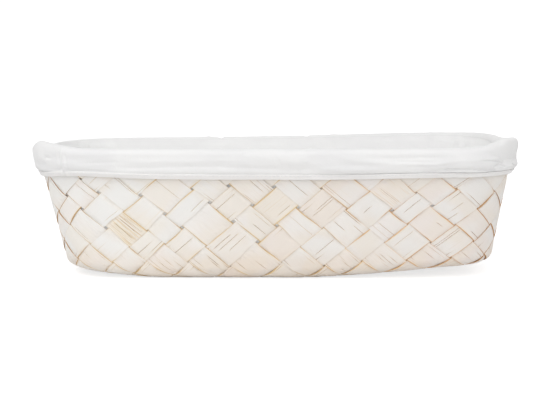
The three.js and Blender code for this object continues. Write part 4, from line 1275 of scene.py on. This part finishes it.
def by_place(around, table):
    """A value read from a table, between its places."""
    return np.interp(np.mod(around, way_round), *zip(*table))


def corner_share(around):
    """1 at the middle of a round corner, falling to 0 along the sides."""
    wrapped = np.mod(around, way_round)
    nearest = np.min(np.abs(wrapped[:, None] - corner_places[None, :]), axis=1)
    return 1 - smooth_step(nearest, CORNER_FULL_TO, CORNER_GONE_AT)


def hem_way(around):
    """How far up the wall the hem's lower edge runs, sagging between the corners."""
    wrapped = np.mod(around, way_round)
    side = np.searchsorted(side_starts, wrapped, side="right") - 1
    share = (wrapped - side_starts[side]) / side_lengths[side]
    even = wall_slant - CUFF_DROP - CUFF_SAG * np.sin(math.pi * share) ** 2 + CUFF_SAG
    return even + by_place(around, HEM_WANDER)


def lump_height(around):
    """How much higher the crest stands at each place, pinches taken off."""
    total = np.mean([by_place(around + shift, LUMPS) for shift in LUMP_BLEND], axis=0)
    for place, depth, width in PINCHES:
        total = total - depth * bell(np.mod(around, way_round), place, width)
    return total


def cuff_section(around):
    """The cuff's middle line at each stop, as (way, out), from inside the rim to the hem."""
    arc = np.linspace(0, math.pi, CREST_POINTS)
    half_width = (hoop_cloth_depth + cuff_depth) / 2
    centre_out = (cuff_depth - hoop_cloth_depth) / 2
    crest_out = centre_out - half_width * np.sign(np.cos(arc)) * np.abs(np.cos(arc)) ** CREST_FLAT
    crest_top = (CREST_HEIGHT + CREST_FOOT + lump_height(around))[:, None]
    crest_way = wall_slant - CREST_FOOT + crest_top * np.sin(arc)[None, :] ** CREST_ROUND
    drop_share = np.linspace(0, 1, DROP_POINTS)[1:]
    drop = hem_way(around)[:, None] + CUFF_END - wall_slant + CREST_FOOT
    drop_way = (wall_slant - CREST_FOOT) + drop * drop_share
    drawn_in = 1 - smooth_step(drop_way, hoop_low + DRAWN_IN_TO, hoop_low + DRAWN_IN_FROM)
    drop_out = cuff_depth + (HEM_OUT - cuff_depth) * drawn_in
    way = np.concatenate([crest_way, drop_way], axis=1)
    out = np.concatenate([np.broadcast_to(crest_out, (len(around), CREST_POINTS)), drop_out], axis=1)
    return way, out


def pressed(around, way):
    """How deep the creases are at each place of the cuff."""
    total = np.zeros(np.broadcast(around, way).shape)
    for first, low, last, high, depth, width in CREASES:
        run, climb = last - first, high - low
        length = run * run + climb * climb
        along = ((around - first) * run + (way - low) * climb) / length
        held = np.clip(along, 0, 1)
        distance = np.hypot(around - first - held * run, way - low - held * climb)
        fade = 1 - smooth_step(np.abs(along - 0.5), 0.35, 0.62)
        total = total + depth * fade * bell(distance, 0, width)
    return total


def cuff_swell(around, way):
    """How far the cloth stands off the hoops, from its long soft wrinkles and corner folds."""
    corner = corner_share(around)[:, None]
    along = around[:, None]
    below = smooth_step(wall_slant - way, *BELOW_CREST)
    restless = 0.6 + 0.6 * smooth_step(np.mod(along, way_round), CALM_TO, RESTLESS_FROM)
    long_waves = LONG_WAVES * restless * wrinkle_along(along * 0.5, way * 2.2)
    fine = FINE_WAVES * restless * wrinkle_fine(along * 0.3, way * 1.2)
    folds = CORNER_FOLDS * np.sin(way / CORNER_FOLD_WAVE + CORNER_FOLD_SLOPE * along) * corner * below
    baggy = by_place(along, BAGGY) * below
    hanging = smooth_step(way, hoop_low + OFF_HOOP[0], hoop_low + OFF_HOOP[1])
    swell = (LEAST_SWELL + long_waves + fine) * (0.35 + 0.65 * below) + folds * 0.6 + baggy
    return swell * (0.25 + 0.75 * hanging)


section_way, section_out = cuff_section(cuff_around)
swell = cuff_swell(cuff_around, section_way)
on_outside = smooth_step(section_out, -2.0, 3.0)
crease = pressed(cuff_around[:, None], section_way)
above_hem = section_way - hem_way(cuff_around)[:, None] - HEM_WIDTH - FOLD_ABOVE_HEM
fold_places, fold_depths, overhangs = zip(*HEM_FOLD)
fold_depth = np.interp(cuff_around, fold_places, fold_depths)[:, None]
crease = crease + fold_depth * bell(above_hem, 0, FOLD_HALF)
overhang = np.interp(cuff_around, fold_places, overhangs)[:, None]
overhang = overhang * bell(above_hem, OVERHANG_ABOVE, OVERHANG_HALF)
over_hoop = smooth_step(section_way, hoop_low - 1, hoop_low + 1)
relief = np.maximum(swell - crease, -MOST_ONTO_HOOP - MORE_BELOW_HOOP * (1 - over_hoop))
at_crest = 1 - np.abs(2 * on_outside - 1)
section_way = section_way + swell * at_crest * CREST_SWELL - overhang * on_outside
section_out = section_out + relief * on_outside


def thick_section(way, out, half):
    """A closed section from a middle line, with half its thickness to either side."""
    run_way = np.gradient(way, axis=1)
    run_out = np.gradient(out, axis=1)
    size = np.hypot(run_way, run_out) + 1e-9
    one = np.stack([way - half * run_out / size, out + half * run_way / size], axis=-1)
    other = np.stack([way + half * run_out / size, out - half * run_way / size], axis=-1)
    return np.concatenate([one, other[:, ::-1]], axis=1)


cuff_mesh = ring_of_sections("lining_cuff", cuff_around, thick_section(section_way, section_out, cloth_half))
cuff = shown_as("lining_cuff", cuff_mesh, cuff_shaded_cloth)
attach(cuff, "liner")
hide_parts("liner_cuff")

# The hem: the cuff's lower edge turned up twice and sewn with one line of
# white stitches just under its upper edge.
STITCH_LENGTH = 2.2
STITCH_PITCH = 3.2
STITCH_THICKNESS = 0.6
STITCH_LEAN = 0.12
STITCH_BELOW_EDGE = 1.0
HEM_HALF = 0.65
HEM_OFF_CUFF, HEM_ROUNDING = 0.35, 0.3
HEM_PUCKER, PUCKER_AT, PUCKER_HALF = 0.14, 0.25, 0.3
# The hem is the cuff's cotton in a lighter tone: painted light
HEM_LIT_DULL, HEM_LIT_CLEAR = (0.885, 0.87, 0.86, 1), (0.92, 0.905, 0.895, 1)
THREAD_DARK, THREAD_LIGHT = (0.80, 0.80, 0.81, 1), (0.90, 0.90, 0.90, 1)
HEM_SPACING, HEM_POINTS = 0.95, 9
hem_around = stops_round(HEM_SPACING)
hem_low = hem_way(hem_around)


def cuff_out_at(around, way):
    """How far out the cuff's middle lies at places of its lower part."""
    every_way, every_out = cuff_section(around)
    below_crest = slice(CREST_POINTS - 1, None)
    plain = [
        np.interp(-ways, -column, out)
        for ways, column, out in zip(way, every_way[:, below_crest], every_out[:, below_crest])
    ]
    crease = pressed(around[:, None], way)
    return np.array(plain) + np.maximum(cuff_swell(around, way) - crease, -MOST_ONTO_HOOP)


hem_share = np.linspace(0, 1, HEM_POINTS)
hem_ways = hem_low[:, None] + HEM_WIDTH * (1 - hem_share)
rounding = np.sin(math.pi * hem_share) ** 0.5
pucker = HEM_PUCKER * np.cos(2 * math.pi * hem_around / STITCH_PITCH)[:, None]
pucker = pucker * bell(hem_share, PUCKER_AT, PUCKER_HALF)
hem_out = cuff_out_at(hem_around, hem_ways) + HEM_OFF_CUFF + HEM_ROUNDING * rounding + pucker
hem_mesh = ring_of_sections("lining_hem", hem_around, thick_section(hem_ways, hem_out, HEM_HALF))
hem_lit_cloth = cotton("white cotton of the hem, lighter for painted light", HEM_LIT_DULL, HEM_LIT_CLEAR)
hem = shown_as("lining_hem", hem_mesh, hem_lit_cloth)
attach(hem, "liner")
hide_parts("liner_hem")


def stitch_tree():
    """Short spindles of thread along a line of points, one at each pitch, each leaning a little."""
    tree, given, result = new_tree("Stitches along a line", [
        ("Pitch", "NodeSocketFloat"), ("Length", "NodeSocketFloat"), ("Thickness", "NodeSocketFloat"),
        ("Lean", "NodeSocketFloat"), ("Seed", "NodeSocketInt"), ("Material", "NodeSocketMaterial"),
    ])
    put = given.outputs
    curve = add_node(tree, "GeometryNodeMeshToCurve", Mesh=put["Geometry"]).outputs[0]
    spaced = add_node(tree, "GeometryNodeResampleCurve", {"mode": "LENGTH"}, Curve=curve, Length=put["Pitch"])
    thread = add_node(tree, "GeometryNodeMeshUVSphere", Segments=8, Rings=6, Radius=0.5)
    tangent = add_node(tree, "GeometryNodeInputTangent").outputs[0]
    facing = add_node(tree, "FunctionNodeAlignEulerToVector", {"axis": "X"}, Vector=tangent)
    slack = add_node(tree, "FunctionNodeRandomValue", {"data_type": "FLOAT"}, i2=-1.0, i3=1.0, Seed=put["Seed"])
    lean = maths_in(tree, "MULTIPLY", slack.outputs[1], put["Lean"])
    turned = add_node(
        tree, "FunctionNodeRotateEuler", {"rotation_type": "EULER", "space": "LOCAL"},
        Rotation=facing.outputs[0], Rotate_By=add_node(tree, "ShaderNodeCombineXYZ", Y=lean).outputs[0],
    )
    size = add_node(
        tree, "ShaderNodeCombineXYZ", X=put["Length"], Y=put["Thickness"], Z=put["Thickness"],
    )
    placed = add_node(
        tree, "GeometryNodeInstanceOnPoints", Points=spaced.outputs[0], Instance=thread.outputs[0],
        Rotation=turned.outputs[0], Scale=size.outputs[0],
    )
    real = add_node(tree, "GeometryNodeRealizeInstances", Geometry=placed.outputs[0]).outputs[0]
    painted = add_node(tree, "GeometryNodeSetMaterial", Geometry=real, Material=put["Material"])
    give(tree, result, Geometry=painted.outputs[0])
    return tree


def thread_cotton():
    """White twisted thread."""
    material, tree, surface = principled("white thread")
    coords = add_node(tree, "ShaderNodeTexCoord").outputs["Object"]
    ply = add_node(tree, "ShaderNodeTexWave", Vector=coords, Scale=900.0, Distortion=2.0).outputs["Fac"]
    give(tree, surface, Base_Color=mixed_in(tree, ply, THREAD_DARK, THREAD_LIGHT), Roughness=0.7)
    bumped(tree, surface, 0.4, 0.0002, ply)
    return material


stitch_ways = hem_low[:, None] + HEM_WIDTH - STITCH_BELOW_EDGE
stitch_points, stitch_normal = place_on(surface_point, hem_around[:, None], stitch_ways)
stitch_out = cuff_out_at(hem_around, stitch_ways) + (HEM_OFF_CUFF + HEM_ROUNDING) + HEM_HALF
stitch_line = (stitch_points + stitch_normal * stitch_out[..., None])[:, 0] * MM
stitch_guide = bpy.data.meshes.new("hem_stitches")
count = len(stitch_line)
stitch_guide.from_pydata(stitch_line.tolist(), [(i, (i + 1) % count) for i in range(count)], [])
stitches = made_by(stitch_tree(), "hem_stitches", stitch_guide, {
    "Pitch": STITCH_PITCH * MM, "Length": STITCH_LENGTH * MM, "Thickness": STITCH_THICKNESS * MM,
    "Lean": STITCH_LEAN, "Seed": 5, "Material": thread_cotton(),
})
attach(stitches, "liner")

# The floor that the tray stands on, with a backdrop that rises behind it in
# one soft curve, both plain white paper.
FLOOR_REACH = 3.0
BEND_FROM, BEND_RADIUS, BEND_STEPS, PAPER_TOP = 1.2, 0.8, 12, 3.2
PAPER_GLOW = 0.72
PAPER_TONE, PAPER_SEEN_TONE = (0.9, 0.9, 0.9, 1), (0.5, 0.5, 0.5, 1)
profile_points = [(-FLOOR_REACH, 0.0), (BEND_FROM, 0.0)]
for step in range(1, BEND_STEPS + 1):
    angle = step / BEND_STEPS * math.pi / 2
    profile_points.append((BEND_FROM + BEND_RADIUS * math.sin(angle), BEND_RADIUS * (1 - math.cos(angle))))
profile_points.append((BEND_FROM + BEND_RADIUS, PAPER_TOP))


def seen_directly(tree):
    """1 for what the camera sees, straight, mirrored or through something, and 0 for light on its way."""
    ray = add_node(tree, "ShaderNodeLightPath").outputs
    seen = maths_in(tree, "MAXIMUM", ray["Is Camera Ray"], ray["Is Glossy Ray"])
    return maths_in(tree, "MAXIMUM", seen, ray["Is Transmission Ray"])


paper = bpy.data.meshes.new("paper")
paper_points = [(x, y, z) for y, z in profile_points for x in (-FLOOR_REACH, FLOOR_REACH)]
paper_faces = [(2 * i, 2 * i + 1, 2 * i + 3, 2 * i + 2) for i in range(len(profile_points) - 1)]
paper.from_pydata(paper_points, [], paper_faces)
for polygon in paper.polygons:
    polygon.use_smooth = True
paper_material, paper_tree, paper_surface = principled("white paper")
shown = seen_directly(paper_tree)
paper_tone = mixed_in(paper_tree, shown, PAPER_TONE, PAPER_SEEN_TONE)
give(paper_tree, paper_surface, Base_Color=paper_tone, Roughness=0.95, Specular_IOR_Level=0.1)
brightness = maths_in(paper_tree, "MULTIPLY", shown, PAPER_GLOW)
glow = add_node(paper_tree, "ShaderNodeEmission", Color=(1, 1, 1, 1), Strength=brightness)
both = add_node(paper_tree, "ShaderNodeAddShader", i0=paper_surface.outputs[0], i1=glow.outputs[0])
give(paper_tree, paper_tree.nodes["Material Output"], Surface=both.outputs[0])
paper_piece = shown_as("paper_floor", paper, paper_material)

# The studio: a wide soft lamp above and to the left, weaker ones from the
# right, the front and behind, and a pale sky all round.
SKY_LIGHT = 0.5
world = bpy.data.worlds.new("studio")
bpy.context.scene.world = world
world.use_nodes = True
sky_tree = world.node_tree
seen_sky = maths_in(sky_tree, "MULTIPLY", seen_directly(sky_tree), 1 - SKY_LIGHT)
sky_strength = maths_in(sky_tree, "ADD", seen_sky, SKY_LIGHT)
give(sky_tree, sky_tree.nodes["Background"], Color=(1, 1, 1, 1), Strength=sky_strength)


def soft_lamp(name, place, size, power, target=(0, 0, 0.05)):
    """A rectangular lamp that faces the tray."""
    lamp = bpy.data.lights.new(name, "AREA")
    lamp.shape = "RECTANGLE"
    lamp.size, lamp.size_y = size
    lamp.energy = power
    holder = linked(name, lamp)
    holder.location = place
    holder.rotation_euler = (Vector(target) - Vector(place)).to_track_quat("-Z", "Y").to_euler()


soft_lamp("main_lamp", (-0.55, -0.9, 1.5), (1.4, 1.0), 11.8)
soft_lamp("side_lamp", (1.3, -0.7, 0.8), (0.9, 0.9), 2.6)
soft_lamp("front_lamp", (-0.3, -1.9, 0.9), (1.2, 0.8), 6.0)
soft_lamp("back_lamp", (0.4, 1.7, 0.8), (1.2, 0.8), 5.0)

# The camera: straight in front of the long side, a little above the rim, at
# the distance and with the lens that the photograph's perspective gives.
FOCAL_PIXELS, PICTURE_WIDTH = 1098, 550
CAMERA_PLACE = (0.0, -0.95, 0.161)
CAMERA_TILT = 6.56
camera = bpy.data.cameras.new("camera")
camera.sensor_width = 36.0
camera.lens = camera.sensor_width * FOCAL_PIXELS / PICTURE_WIDTH
camera.clip_start, camera.clip_end = 0.05, 20
viewer = linked("camera", camera)
viewer.location = CAMERA_PLACE
viewer.rotation_euler = (math.pi / 2 - math.radians(CAMERA_TILT), 0, 0)
bpy.context.scene.camera = viewer
bpy.context.scene.view_settings.view_transform = "Standard"
